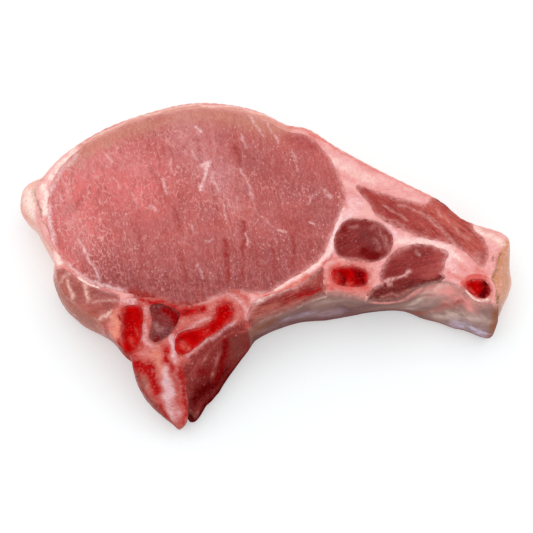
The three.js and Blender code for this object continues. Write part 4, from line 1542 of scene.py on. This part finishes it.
@dataclass(frozen=True)
class Muscles:
    """All the cut muscles of the upper face."""

    dark: Finish = Finish(
        base=(140, 46, 44), mottle=(126, 34, 33), fleck=(172, 90, 85), pore=(96, 14, 14), layers={}, fleck_share=0.3,
        line_share=0.35, streak_share=0.3, roughness=0.34, bump=0.25, gloss=0.03, fleck_size=0.7,
    )

    chine_outline: Rows = (
        (-72, -3), (-68.5, -4.6), (-65.6, -4.8), (-62.4, -7), (-58, -10), (-52, -11.8), (-47.6, -13.6),
        (-47.8, -17), (-50.4, -20), (-50, -28), (-66, -26), (-78, -10),
    )
    round_outline: Rows = (
        (27.4, 12.6), (33, 12.6), (38.4, 11.3), (42.2, 6.8), (41.2, 1), (36, -2.2), (29.5, -1.6), (24.2, 0.2),
        (22.7, 5), (24.6, 10),
    )
    oval_outline: Rows = (
        (37.8, -6.6), (39.8, -2), (43.4, 1.8), (48.5, 4), (55, 3.6), (60.3, 1.4), (59.5, -2.2), (57.8, -6.6),
        (53.6, -8.4), (48, -8), (43, -9.4), (38.8, -9.3),
    )
    strip_outline: Rows = (
        (34.4, -11.6), (38, -10), (44, -9), (50, -7.6), (56, -6.4), (59, -7.4), (55, -10.4), (50, -13), (45, -18),
        (37, -19), (34, -15),
    )
    belly_outline: Rows = (
        (30.6, 24.2), (37, 22.2), (46, 19.4), (53.5, 18), (58, 21), (68, 13.5), (69.5, 9), (73, 4.4), (73.4, -1),
        (71.4, -3.8), (66, 1.2), (60.5, 4.6), (52, 6.2), (45, 9.2), (38.4, 12.6), (35.2, 17),
    )
    rib_outline: Rows = (
        (-5.4, -20), (-4, -16), (4.5, -12.4), (11, -10), (19, -4.2), (20, -12), (18, -19), (0, -27), (-6, -27),
    )
    eye_outline: Rows = (
        (-71.8, 18.5), (-70.8, 25.5), (-67.8, 31.4), (-61, 37.8), (-49, 44.6), (-36, 49.4), (-22.5, 51.6),
        (-9, 50.6), (1, 47), (8, 43.2), (13.4, 42.2), (20, 36.4), (25, 27.4), (27, 19.5), (24, 12), (21, 4),
        (18.4, -0.8), (13, -5.4), (6, -9.6), (0.6, -12.6), (-10, -12.6), (-22, -16.2), (-29, -17.6), (-35, -15.4),
        (-41, -13.8), (-46, -12.4), (-53, -11.2), (-60, -7.6), (-65, -3.4), (-69, 2.4), (-71.6, 10),
    )
    CHINE_MUSCLE_MARKS: ClassVar[Marks] = {
        Paint.PALE: (
            Strand(((-64.8, -8.8), (-63.4, -13.5), (-62.0, -16.9), (-60.3, -19.0), (-57.9, -20.3), (-53.7, -20.9),
                    (-51.4, -20.3)), 0.6, 0.85, 0.12),
            Strand(((-59.2, -10.1), (-58.5, -12.5), (-57.8, -15.2)), 0.7, 0.8, 0.1),
            Strand(((-56.4, -15.9), (-53.8, -15.5), (-50.6, -15.2), (-48.0, -15.2)), 0.5, 0.45, 0.1),
            Strand(((-67.1, -8.4), (-66.2, -7.4), (-64.5, -6.8)), 0.8, 0.6),
            Strand(((-51.9, -20.3), (-50.5, -19.6), (-49.5, -18.9)), 1.0, 0.9, 0.3),
        ),
        Paint.WARM: (
            Strand(((-69, -8), (-66, -14), (-61, -19), (-54, -22.5)), 2.2, 0.8),
        ),
        Paint.COOL: (
            Strand(((-55, -13), (-51, -13.5)), 2.5, 0.7),
            Strand(((-64, -9.5), (-61, -15)), 1.2, 0.5),
        ),
    }
    LOIN_EYE_MARKS: ClassVar[Marks] = {
        Paint.PALE: (
            Strand(((-23.1, 45.0), (-22.4, 44.2), (-21.4, 42.8)), 0.5, 0.6, 0.1),
            Strand(((-18.9, 32.2), (-19.7, 29.0), (-20.5, 25.5), (-20.9, 22.4)), 0.55, 0.9, 0.15),
            Strand(((-18.4, 33.0), (-20.6, 30.6)), 0.5, 0.6),
            Strand(((-17.9, 28.3), (-16.6, 25.1), (-15.2, 21.6)), 0.42, 0.45),
            Strand(((-34.2, 26.2), (-33.5, 23.4), (-32.5, 20.9)), 0.5, 0.42, 0.1),
            Strand(((-6.3, 7.4), (-5.9, 5.4), (-5.6, 3.4)), 0.32, 0.42),
            Strand(((-13.3, 17.0), (-13.1, 14.2), (-12.9, 12.0)), 0.34, 0.4),
            Strand(((-5.2, 23.9), (-3.6, 18.7), (-1.9, 13.6)), 0.34, 0.2),
            Strand(((-1.9, 13.6), (1.8, 10.5), (5.0, 8.4)), 0.32, 0.15),
            Strand(((14.9, 11.1), (16.4, 10.7)), 0.4, 0.45),
            Strand(((14.1, 17.7), (15.6, 20.4), (16.9, 21.1)), 0.36, 0.42),
            Strand(((9.2, 36.0), (10.4, 32.4), (11.0, 29.6)), 0.36, 0.3),
            Strand(((-44.0, 21.4), (-43.0, 19.0), (-42.6, 16.2)), 0.34, 0.3),
            Strand(((-50.6, 27.0), (-49.0, 25.2), (-48.4, 23.0)), 0.4, 0.4),
            Strand(((-31.3, 33.9), (-31.6, 30.4), (-30.9, 29.0)), 0.4, 0.4),
            Strand(((-24.3, 36.1), (-23.3, 34.3), (-22.0, 32.9)), 0.4, 0.4),
            Strand(((-7.9, 30.0), (-6.2, 26.2), (-4.6, 20.9)), 0.4, 0.36),
            Strand(((-8.0, 42.1), (-7.3, 40.0), (-6.3, 37.5)), 0.4, 0.36),
            Strand(((-53.4, 35.0), (-52.1, 33.9), (-50.7, 32.5)), 0.4, 0.36),
            Strand(((-66.9, 25.8), (-66.2, 24.1), (-65.8, 22.0)), 0.4, 0.36),
            Strand(((-38.1, 17.1), (-37.1, 16.4), (-36.4, 15.3)), 0.49, 0.43),
            Strand(((-19.4, 4.6), (-18.4, 4.6), (-17.4, 5.3)), 0.4, 0.43),
            Strand(((-24.7, 10.8), (-24.0, 9.1), (-22.7, 7.7)), 0.4, 0.29),
            Strand(((-61.3, 5.6), (-59.6, 2.2), (-57.5, -1.9), (-55.7, -5.7), (-54.7, -8.4)), 0.4, 0.65, 0.1),
            Strand(((4.4, 8.4), (5.4, 7.7), (7.0, 7.7)), 0.4, 0.65),
            Strand(((19.7, 22.4), (20.7, 21.2), (22.0, 20.1)), 0.65, 0.45),
            Strand(((-21.9, -3.3), (-21.6, -5.4), (-20.6, -8.1)), 0.4, 0.29),
            Strand(((-55.7, -6.4), (-54.7, -7.7), (-54.0, -9.4)), 0.49, 0.36),
            Strand(((-71.2, 21.5), (-70.2, 25.0), (-67.6, 30.0), (-63.0, 34.6)), 0.9, 0.6),
            Strand(((-71.6, 17.0), (-71.0, 11.0), (-69.6, 4.0)), 0.7, 0.8),
            Strand(((-65.0, -2.6), (-60, -7.0), (-54, -10.2), (-47, -11.8)), 0.6, 0.6),
            Strand(((-5.0, 50.0), (-3.3, 46.0), (-0.9, 41.7)), 0.4, 0.43, 0.1),
            Strand(((0.1, 48.5), (1.8, 44.6), (4.8, 39.3)), 0.4, 0.43, 0.1),
        ),
        Paint.DEEP: (
            # The dark lines with a negative height are sunk into grooves; their dark paint is partly the seams' own
            # colour, partly painted shade in the grooves.
            Strand(((-23.1, 41.0), (-22.0, 36.8), (-20.6, 32.2)), 0.9, 0.8, -0.2),
            Strand(((-9.6, 37.8), (-8.9, 34.6), (-8.3, 31.1)), 0.8, 0.7, -0.2),
            Strand(((-38.3, 29.0), (-34.9, 24.4), (-30.8, 17.4), (-29.4, 11.5)), 1.2, 0.3, -0.1),
            Strand(((-13.1, 5.4), (-12.3, -1.5), (-12.0, -8.6)), 0.75, 0.75, -0.2),
            Strand(((-7.1, 11.4), (-6.9, 6.2), (-7.1, -0.6), (-7.5, -8.3)), 0.75, 0.6, -0.2),
            Strand(((8.9, 7.1), (9.8, 2.0), (9.4, -4.6)), 0.7, 0.6, -0.1),
            Strand(((2.4, 4.0), (3.0, -0.9), (3.6, -6.0)), 0.65, 0.6, -0.1),
            Strand(((-28.8, 13.1), (-28.2, 9.4)), 1.3, 0.35),
            Strand(((-27.6, 2.0), (-27.0, -4.0), (-26.4, -9.0)), 0.8, 0.4),
            Strand(((-2.6, 2.0), (-2.2, -5.0)), 0.6, 0.4),
            Strand(((14.4, 4.0), (14.0, -1.4)), 0.7, 0.4),
            Strand(((8.0, 11.6), (12.6, 10.4)), 3.4, 0.3),
            Strand(((-42.0, 8.0), (-40.4, 2.0), (-40.0, -5.0)), 0.9, 0.3),
            Strand(((-65.6, 15.3), (-63.6, 16.7), (-61.7, 18.1)), 1.5, 0.35),
            Strand(((-43.4, -12.4), (-39.6, -13.6), (-36.5, -14.2)), 1.3, 1.0),
            Strand(((-29.0, -17.4), (-24.4, -16.6), (-20.0, -15.4)), 1.0, 0.8),
            Strand(((-36.5, -14.6), (-32.0, -16.0), (-28.0, -17.0)), 0.7, 0.5),
            Strand(((8, 41), (13.5, 40), (17.5, 36.3)), 3.0, 0.4),
            Strand(((-17.5, 22.7), (-16.1, 14.3), (-14.8, 8.0)), 0.9, 0.3),
        ),
        Paint.WARM: (
            Strand(((-62, 12), (-64, 24), (-54, 30), (-42, 24)), 12.0, 0.9),
            Strand(((-68, 2), (-62, -3)), 3.4, 0.7),
            Strand(((-70, 24), (-66, 31)), 2.5, 0.5),
            Strand(((7, 40.6), (13.0, 39.6), (18.0, 35.0)), 3.4, 0.35),
        ),
        Paint.COOL: (
            # The two broad lower bands darken the bottom of the eye: partly the meat's own tone, partly painted shade
            # for light falling from the top.
            Strand(((-50, -9), (-36, -13), (-14, -11), (2, -9)), 9.5, 0.9),
            Strand(((-12, -3), (-2, -2), (12, 2)), 7.0, 0.6),
            Strand(((-4, 30), (8, 26), (18, 22), (18, 14)), 8.0, 0.34),
            Strand(((15.6, 19.0), (17.6, 15.0), (17.8, 12.0)), 2.4, 0.5),
            Strand(((18.4, 5.0), (17.6, 0.6)), 1.6, 0.6),
        ),
        Paint.HAZE: (
            Strand(((-26, 42), (-20, 34), (-15, 26)), 7.0, 0.42),
            Strand(((-12.4, 21.4), (-9.4, 16.6)), 3.2, 0.3),
            Strand(((-60, 30), (-50, 34), (-42, 30)), 5.0, 0.25),
            Strand(((-68, 20), (-62, 10), (-60, 2)), 3.4, 0.3),
        ),
        Paint.MESH: (
            Strand(((-67, 28), (-63, 16), (-60, 4)), 14.0, 1.0),
            Strand(((-52, 8), (-44, 0)), 8.0, 0.4),
            Strand(((-50, 36), (-34, 40)), 9.0, 0.5),
            Strand(((-40, 22), (-24, 26), (-12, 18)), 9.0, 0.6),
            Strand(((-12, 30), (2, 22), (14, 24)), 7.0, 0.3),
        ),
        Paint.VEIL: (
            Strand(((-64, 33), (-57, 38), (-46, 43.6), (-34, 47.6), (-20, 49.6)), 3.0, 0.6),
            Strand(((-20, 49.6), (-8, 48), (4, 44)), 3.8, 0.6),
        ),
    }
    ROUND_MUSCLE_MARKS: ClassVar[Marks] = {
        Paint.PALE: (
            Strand(((38.1, 8.0), (40.0, 5.3), (40.7, 2.5)), 1.0, 0.55, 0.2),
            Strand(((35.5, 9.4), (37.5, 10.8), (39.5, 9.4)), 0.8, 0.35),
            Strand(((28.2, 9.8), (30.9, 10.1)), 0.7, 0.4),
            Strand(((36.4, 6.0), (38.0, 3.2), (37.3, 1.8)), 0.7, 0.4),
        ),
        Paint.DEEP: (
            # Dark hole at the lower right, sunk 0.4 mm: partly the meat's own dark red, partly painted shade in the
            # hole.
            Strand(((32.8, 1.6), (34.4, 0.1), (37.0, -0.3)), 1.3, 1.5, -0.4),
            Strand(((26.2, 9.1), (26.9, 8.0)), 0.8, 0.6),
            Strand(((32.1, 1.8), (34.7, 2.5)), 1.3, 0.5),
        ),
        Paint.COOL: (
            Strand(((33, 7.5), (35.5, 4.5)), 3.0, 0.7),
        ),
    }
    OVAL_MUSCLE_MARKS: ClassVar[Marks] = {
        Paint.PALE: (
            Strand(((39.8, -8.8), (42.1, -8.4), (44.4, -7.8), (46.7, -6.4), (47.4, -5.4)), 0.6, 0.9, 0.3),
            Strand(((52.9, 5.3), (53.9, 4.3)), 0.9, 0.5),
            Strand(((49.9, 1.8), (51.2, 0.5)), 0.6, 0.4),
            Strand(((57.8, 2.5), (59.7, 1.2)), 0.9, 0.5),
        ),
        Paint.WARM: (
            Strand(((54, -6.4), (57, -4), (58.6, 0)), 3.2, 0.7),
            Strand(((42, 0), (48, 3)), 1.6, 0.4),
        ),
    }
    LOWER_STRIP_MARKS: ClassVar[Marks] = {
        Paint.PALE: (
            Strand(((38, -13.5), (44, -13.4), (49, -11)), 0.5, 0.3),
        ),
        Paint.WARM: (
            Strand(((36, -15.8), (44, -15), (50, -11.6), (56, -9)), 1.1, 0.4),
        ),
    }
    BELLY_STRIP_MARKS: ClassVar[Marks] = {
        Paint.PALE: (
            Strand(((39.3, 17.4), (43.2, 15.0), (47.5, 12.2)), 0.5, 0.35, 0.08),
            Strand(((37.5, 13.6), (42.2, 12.2), (46.1, 10.1)), 0.5, 0.3),
            Strand(((44.9, 17.4), (51.5, 15.0), (57.4, 11.5)), 0.5, 0.4, 0.08),
            Strand(((53.1, 13.9), (58.0, 9.4), (62.8, 3.6)), 0.55, 0.4, 0.08),
            Strand(((56.5, 15.7), (62.0, 10.5), (67.1, 5.3)), 0.5, 0.35),
            Strand(((59.5, 3.6), (62.7, 0.1), (64.9, -2.3)), 0.9, 0.5),
            Strand(((70.5, 0.5), (70.0, -2.6)), 1.2, 0.4),
        ),
        Paint.DEEP: (
            Strand(((33, 22.5), (38, 18), (44, 13)), 1.6, 0.5),
        ),
        Paint.WARM: (
            Strand(((55, 17), (63, 11), (69, 3)), 3.0, 0.7),
        ),
    }
    RIB_MEAT_MARKS: ClassVar[Marks] = {
        Paint.PALE: (
            Strand(((-2.9, -15.6), (-0.9, -14.5), (5.0, -11.0), (11.6, -7.4)), 1.0, 0.9, 0.3),
            Strand(((11.6, -7.6), (16.5, -4.8)), 0.7, 0.6),
        ),
        Paint.WARM: (
            Strand(((-4, -16), (-2.5, -20), (3, -18)), 2.0, 0.6),
            Strand(((2, -20.5), (9, -16.5), (17, -13)), 0.7, 0.4),
            Strand(((12.5, -8.6), (16.0, -8.0), (18.6, -11.0)), 1.8, 0.25),
        ),
        Paint.DEEP: (
            Strand(((11.6, -14.2), (14.2, -13.0), (18.1, -11.1)), 0.8, 1.0, -0.2),
            Strand(((18.8, -5.3), (18.4, -7.7), (17.5, -10.5)), 0.8, 0.5),
        ),
    }

    def chine(self) -> Piece:
        """Makes the small muscle beside the backbone.

        Returns:
            The piece.
        """
        return Piece(
            "chine_muscle", "loin_meat",
            Finish(base=(174, 90, 84), mottle=(152, 68, 62), fleck=(208, 138, 128), pore=(124, 44, 40),
                   line_share=0.35, fleck_share=0.35, streak_share=0.25,
                   layers={Paint.PALE: (226, 172, 162), Paint.WARM: (196, 108, 88), Paint.COOL: (150, 80, 78),
                           Paint.SIDE: (176, 92, 72)}, bump=0.2, roughness=0.36, gloss=0.06),
            self.chine_outline, sink=0.1, crown=0.4, rounding=2.4, paints=self.CHINE_MUSCLE_MARKS)

    def eye(self) -> Piece:
        """Makes the large eye of the loin.

        Returns:
            The piece.
        """
        return Piece(
            "loin_eye", "loin_meat",
            Finish(base=(186, 90, 86), mottle=(178, 92, 92), fleck=(224, 152, 148), pore=(152, 58, 54),
                   layers={Paint.PALE: (240, 196, 196), Paint.DEEP: (152, 44, 38), Paint.WARM: (222, 112, 110),
                           Paint.COOL: (140, 58, 58), Paint.VEIL: (202, 138, 118), Paint.SIDE: (204, 128, 112),
                           Paint.HAZE: (220, 156, 156)},
                   grain_turn=-72, grain_stretch=2.0, fleck_size=0.7, fleck_share=0.26, line_share=0.34,
                   streak_share=0.3, bundle_share=0.55, painted_glint_share=0.5, bump=0.3, roughness=0.42),
            self.eye_outline, crown=0.3, relief=0.12, border_width=1.1, border_share=0.55, waver=0.35,
            paints=self.LOIN_EYE_MARKS)

    def belly(self) -> list[Piece]:
        """Makes the muscles in and round the fat web.

        Returns:
            The round and oval muscles, the lower strip, the belly band and the rib meat.
        """
        disc = Piece(
            "round_muscle", "dark_meat",
            replace(self.dark, grain_turn=35, layers={
                Paint.PALE: (186, 122, 118), Paint.DEEP: (110, 8, 10), Paint.COOL: (116, 46, 48)}),
            self.round_outline, crown=0.4, paints=self.ROUND_MUSCLE_MARKS)
        oval = Piece(
            "oval_muscle", "dark_meat",
            replace(self.dark, base=(142, 46, 45), mottle=(126, 36, 36), grain_turn=20, layers={
                Paint.PALE: (218, 158, 154), Paint.DEEP: (116, 30, 32), Paint.WARM: (186, 88, 84)}),
            self.oval_outline, crown=0.3, waver=0.4, border_width=1.3, paints=self.OVAL_MUSCLE_MARKS)
        strip = Piece(
            "lower_strip", "dark_meat",
            replace(self.dark, base=(106, 30, 28), mottle=(92, 22, 20), grain_turn=12, layers={
                Paint.PALE: (206, 140, 132), Paint.DEEP: (130, 40, 40), Paint.WARM: (164, 90, 82)}),
            self.strip_outline, sink=0.1, crown=0.1, border_width=1.1, border_share=0.5, waver=0.4,
            paints=self.LOWER_STRIP_MARKS)
        band = Piece(
            "belly_strip", "red_meat",
            Finish(base=(174, 68, 63), mottle=(157, 52, 49), fleck=(210, 124, 116), pore=(124, 31, 28),
                   layers={Paint.PALE: (230, 168, 160), Paint.DEEP: (150, 44, 38), Paint.WARM: (204, 98, 84),
                           Paint.SIDE: (200, 92, 72)},
                   grain_turn=-32, grain_stretch=6.0, fleck_size=0.7, fleck_share=0.45, streak_share=0.45, bump=0.3,
                   roughness=0.36, gloss=0.05),
            self.belly_outline, crown=0.3, relief=0.12, relief_size=(4.0, 1.6, 3.0), waver=0.4, border_width=1.2,
            paints=self.BELLY_STRIP_MARKS)
        rib = Piece(
            "rib_meat", "red_meat",
            Finish(base=(140, 40, 36), mottle=(124, 26, 24), fleck=(190, 96, 88), pore=(104, 10, 10),
                   layers={Paint.PALE: (238, 194, 188), Paint.DEEP: (160, 20, 20), Paint.WARM: (206, 128, 112)},
                   grain_turn=24, grain_stretch=6.0, fleck_size=0.7, streak_share=0.5, bump=0.3, roughness=0.36,
                   gloss=0.04),
            self.rib_outline, sink=0.1, crown=0.2, relief=0.14, relief_size=(4.0, 1.6, 3.0), waver=0.35,
            border_width=1.5, paints=self.RIB_MEAT_MARKS)
        return [disc, oval, strip, band, rib]


@dataclass(frozen=True)
class FatCap:
    """The fat that runs round the eye, through the web and out to the skin of the rib end."""

    finish: Finish = Finish(
        base=(234, 170, 166), mottle=(224, 146, 144), fleck=(246, 200, 196), pore=(208, 116, 114), pore_share=0.26,
        # The COOL brown is painted shade: lines in the nub's crease and grooves and along the rib end's top edge.
        layers={Paint.PALE: (250, 222, 212), Paint.DEEP: (208, 100, 86), Paint.COOL: (132, 90, 56),
                Paint.WARM: (198, 132, 92), Paint.SIDE: (236, 172, 154), Paint.VEIL: (212, 146, 130),
                Paint.HAZE: (240, 202, 206), Paint.STAIN: (150, 42, 40)},
        fleck_size=1.2, grain_stretch=1.6, fleck_share=0.34, line_share=0.3, painted_glint_share=0.2, mottle_size=5.0,
        bump=0.14, roughness=0.36, gloss=0.04)
    FAT_CAP_MARKS: ClassVar[Marks] = {
        Paint.DEEP: (
            Strand(((29.4, 21.6), (30.7, 20.6), (31.7, 19.5)), 1.0, 0.6),
            Strand(((-66, -4), (-62, -7.6), (-57, -11), (-50, -13.0)), 1.0, 0.4),
            Strand(((1.0, -14.0), (6.0, -11.4), (12.0, -8.6), (17.4, -5.0), (20.0, -1.4)), 0.9, 0.9),
            Strand(((-22.0, -15.6), (-10, -12.6), (-2, -13.4)), 0.6, 0.5),
            Strand(((22.4, -1.0), (24.6, -0.8)), 0.7, 0.4),
            Strand(((62.6, -1.6), (64.8, -4.6)), 1.1, 0.45),
            Strand(((26.8, 17.8), (27.6, 16.6)), 0.7, 0.8),
            Strand(((30.0, 18.4), (31.0, 16.4)), 0.6, 0.5),
            Strand(((70.0, -4.6), (72.6, -6.0)), 1.2, 0.5),
            Strand(((61.0, -6.0), (65.0, -8.0)), 1.0, 0.5),
            Strand(((8.5, 45.0), (13.5, 44.1), (18.5, 41.2), (23.9, 37.6)), 0.9, 0.6),
            Strand(((23.9, 37.6), (38.5, 29.0), (50, 22.9)), 0.6, 0.5),
            Strand(((45.1, 26.5), (54.9, 20.6), (63.1, 13.9)), 0.9, 0.4),
            Strand(((-60, 41), (-48, 47.4), (-37, 50.9), (-24, 53.7), (-12, 53.3), (0, 50)), 0.45, 0.4),
            Strand(((-70.6, 7.6), (-68.8, 2.6)), 0.5, 0.4),
        ),
        Paint.COOL: (
            # Brown lines: painted shade in the nub's crease and grooves, then along the rib end's top edge.
            Strand(((-77.4, 23.6, 20.9), (-76.8, 21.4, 22.4)), 0.7, 1.0),
            Strand(((-76.4, 21.6), (-75.2, 18.6), (-74.4, 15.6), (-73.8, 13.6)), 0.4, 0.8, -0.16),
            Strand(((-73.4, 12.0), (-72.1, 10.0), (-70.5, 7.4)), 0.35, 0.6, -0.2),
            Strand(((75.4, -0.6), (75.0, -1.9)), 0.4, 0.8, -0.2),
            Strand(((77.6, 0.4), (76.5, -3.0), (75.4, -6.5), (75.0, -9.3)), 0.55, 0.75),
            Strand(((75.0, -9.3), (75.2, -12.6), (75.8, -16.0)), 0.6, 1.0),
        ),
        Paint.PALE: (
            Strand(((-79.7, 22.4, 19.8), (-78.8, 19.3, 20.6), (-77.5, 16.2, 21.8)), 3.0, 1.1),
            Strand(((-69.8, 0.6), (-67.4, -2.4)), 1.1, 0.9),
            Strand(((-60.5, -8.2), (-57.5, -10.2), (-55.0, -10.8)), 0.8, 0.8),
            Strand(((-73.6, 24.6), (-72.8, 20.0), (-72.6, 15.0)), 1.1, 1.0),
            Strand(((-71.6, 27.4), (-68.6, 31.4), (-63.8, 36.2)), 1.2, 0.9),
            Strand(((26, 16), (24, 8), (21, 2)), 0.8, 0.4),
            Strand(((8, 40), (22, 33.5), (36, 26)), 1.6, 0.4),
            Strand(((-60.6, 39.6), (-48.4, 46.2), (-36.6, 50.6), (-23, 53.1), (-10, 52.3), (1, 49.0)), 0.35, 0.5),
            Strand(((3.5, -11.2), (11.6, -6.6), (17.5, -2.6), (20.6, 1.2)), 0.8, 0.6),
            Strand(((44, 4.5), (52, 4.6), (60, 2.6), (64, -1.2)), 1.4, 0.5),
            Strand(((68.5, 9.6), (73.3, 7.2), (78.8, 4.4)), 1.1, 0.6),
        ),
        Paint.STAIN: (
            Strand(((-41.6, -13.6), (-36, -14.8), (-30, -16.2), (-24, -16.0)), 1.8, 1.0),
            Strand(((-24, -15.4), (-18, -14.2)), 1.0, 0.6),
            Strand(((18.6, -3.4), (21.6, -1.4), (22.4, 1.4)), 0.5, 0.45),
        ),
        Paint.HAZE: (
            Strand(((25.6, 14), (23.4, 8), (21.6, 2)), 1.0, 0.9),
            Strand(((21.6, 2), (18.4, -2.6), (14.6, -5.4)), 0.7, 0.7),
            Strand(((30.4, 19.0), (28.4, 15.0), (26.4, 11.0)), 2.6, 0.5),
            Strand(((40.6, 10.4), (44.6, 5.4), (52, 5.4), (59.6, 3.4), (63, -0.4)), 0.9, 0.6),
            Strand(((60.4, 0.4), (62.0, -4.4)), 1.6, 0.5),
            Strand(((-71.0, 27.0), (-67.6, 31.0)), 0.8, 0.5),
        ),
        Paint.WARM: (
            Strand(((80.0, 4.4), (78.0, -1.6), (76.6, -6.4), (76.2, -10), (76.2, -15)), 1.25, 1.3),
            Strand(((81, 5, 18), (80, -2, 19), (79.5, -9, 19), (77, -16, 19)), 6.0, 1.2),
            Strand(((83, 4, 6), (83, -2, 6), (82, -9, 6), (77, -18, 6)), 7.0, 1.2),
        ),
        Paint.VEIL: (
            Strand(((-61.6, 38.6), (-49.2, 45.4), (-36, 50.2), (-22.5, 52.4), (-9, 51.4), (1.2, 47.8),
                    (8.2, 44.0)), 0.9, 0.9),
            Strand(((72, 9), (77, 6)), 2.0, 0.4),
        ),
    }

    def pieces(self) -> list[Piece]:
        """Lists the pieces of the group.

        Returns:
            The fat, as a list of one piece.
        """
        return [Piece(
            "fat_cap", "fat", self.finish, crown=0.25, rounding=1.5, relief=0.16, relief_size=(4.0, 4.0, 4.0),
            border_width=0.55, paints=self.FAT_CAP_MARKS)]


@dataclass(frozen=True)
class Studio:
    """The board under the chop, the light and the camera."""

    board_size: float = 3.0
    board_drop: float = 0.0004
    board_paint: Colour = (211, 216, 217)
    board_glow: float = 0.285
    board_roughness: float = 0.9
    board_gloss: float = 0.1
    sky: float = 0.86
    sun_power: float = 0.98
    sun_spread: float = 62.0
    sun_height: float = 78.0
    sun_side: float = 4.0
    target: tuple[float, float, float] = (0.0006, -0.0037, 0.024)
    distance: float = 0.6
    elevation: float = 74.0
    lens: float = 123.2
    sensor: float = 36.0

    def board(self) -> None:
        """Lays the pale board."""
        half = self.board_size / 2
        mesh = bpy.data.meshes.new("board")
        corners = [(x, y, -self.board_drop) for x, y in ((-half, -half), (half, -half), (half, half), (-half, half))]
        mesh.from_pydata(corners, [], [(0, 1, 2, 3)])
        board = bpy.data.objects.new("board", mesh)
        bpy.context.scene.collection.objects.link(board)
        n = Nodes("board")
        n.set("Base Color", linear(self.board_paint))
        n.set("Emission Color", (1, 1, 1, 1))
        n.set("Emission Strength", self.board_glow)
        n.set("Roughness", self.board_roughness)
        n.set("Specular IOR Level", self.board_gloss)
        mesh.materials.append(n.material)

    def light(self) -> None:
        """Hangs a wide soft sun behind the chop and fills in with an even sky."""
        world = bpy.data.worlds.new("sky")
        world.use_nodes = True
        backdrop = world.node_tree.nodes["Background"]
        backdrop.inputs["Color"].default_value = (1, 1, 1, 1)
        backdrop.inputs["Strength"].default_value = self.sky
        bpy.context.scene.world = world
        sun = bpy.data.lights.new("sun", "SUN")
        sun.energy = self.sun_power
        sun.angle = math.radians(self.sun_spread)
        lamp = bpy.data.objects.new("sun", sun)
        lamp.rotation_euler = (math.radians(-(90 - self.sun_height)), 0, math.radians(self.sun_side))
        bpy.context.scene.collection.objects.link(lamp)

    def camera(self) -> None:
        """Sets up the camera."""
        lens = bpy.data.cameras.new("camera")
        lens.lens = self.lens
        lens.sensor_width = self.sensor
        camera = bpy.data.objects.new("camera", lens)
        rise = math.radians(self.elevation)
        camera.location = Vector(self.target) + self.distance * Vector((0, -math.cos(rise), math.sin(rise)))
        camera.rotation_euler = (math.pi / 2 - rise, 0, 0)
        bpy.context.scene.collection.objects.link(camera)
        bpy.context.scene.camera = camera
        bpy.context.scene.view_settings.view_transform = "Standard"


def main() -> None:
    """Builds every piece, the board, the light and the camera."""
    logging.basicConfig(level=logging.INFO, format="%(message)s")
    muscles = Muscles()
    pieces = SideSkins().pieces() + Backbone().pieces() + Ribs().pieces() + [muscles.chine()] + muscles.belly()
    pieces += [muscles.eye()] + FatCap().pieces()
    plan = Plan(Slice(), pieces)
    for number, piece in enumerate(pieces):
        thing = plan.build(number)
        LOG.info("%s: %d faces, slot %s", piece.node, len(thing.data.polygons), piece.slot)
    studio = Studio()
    studio.board()
    studio.light()
    studio.camera()


if __name__ == "__main__":
    main()
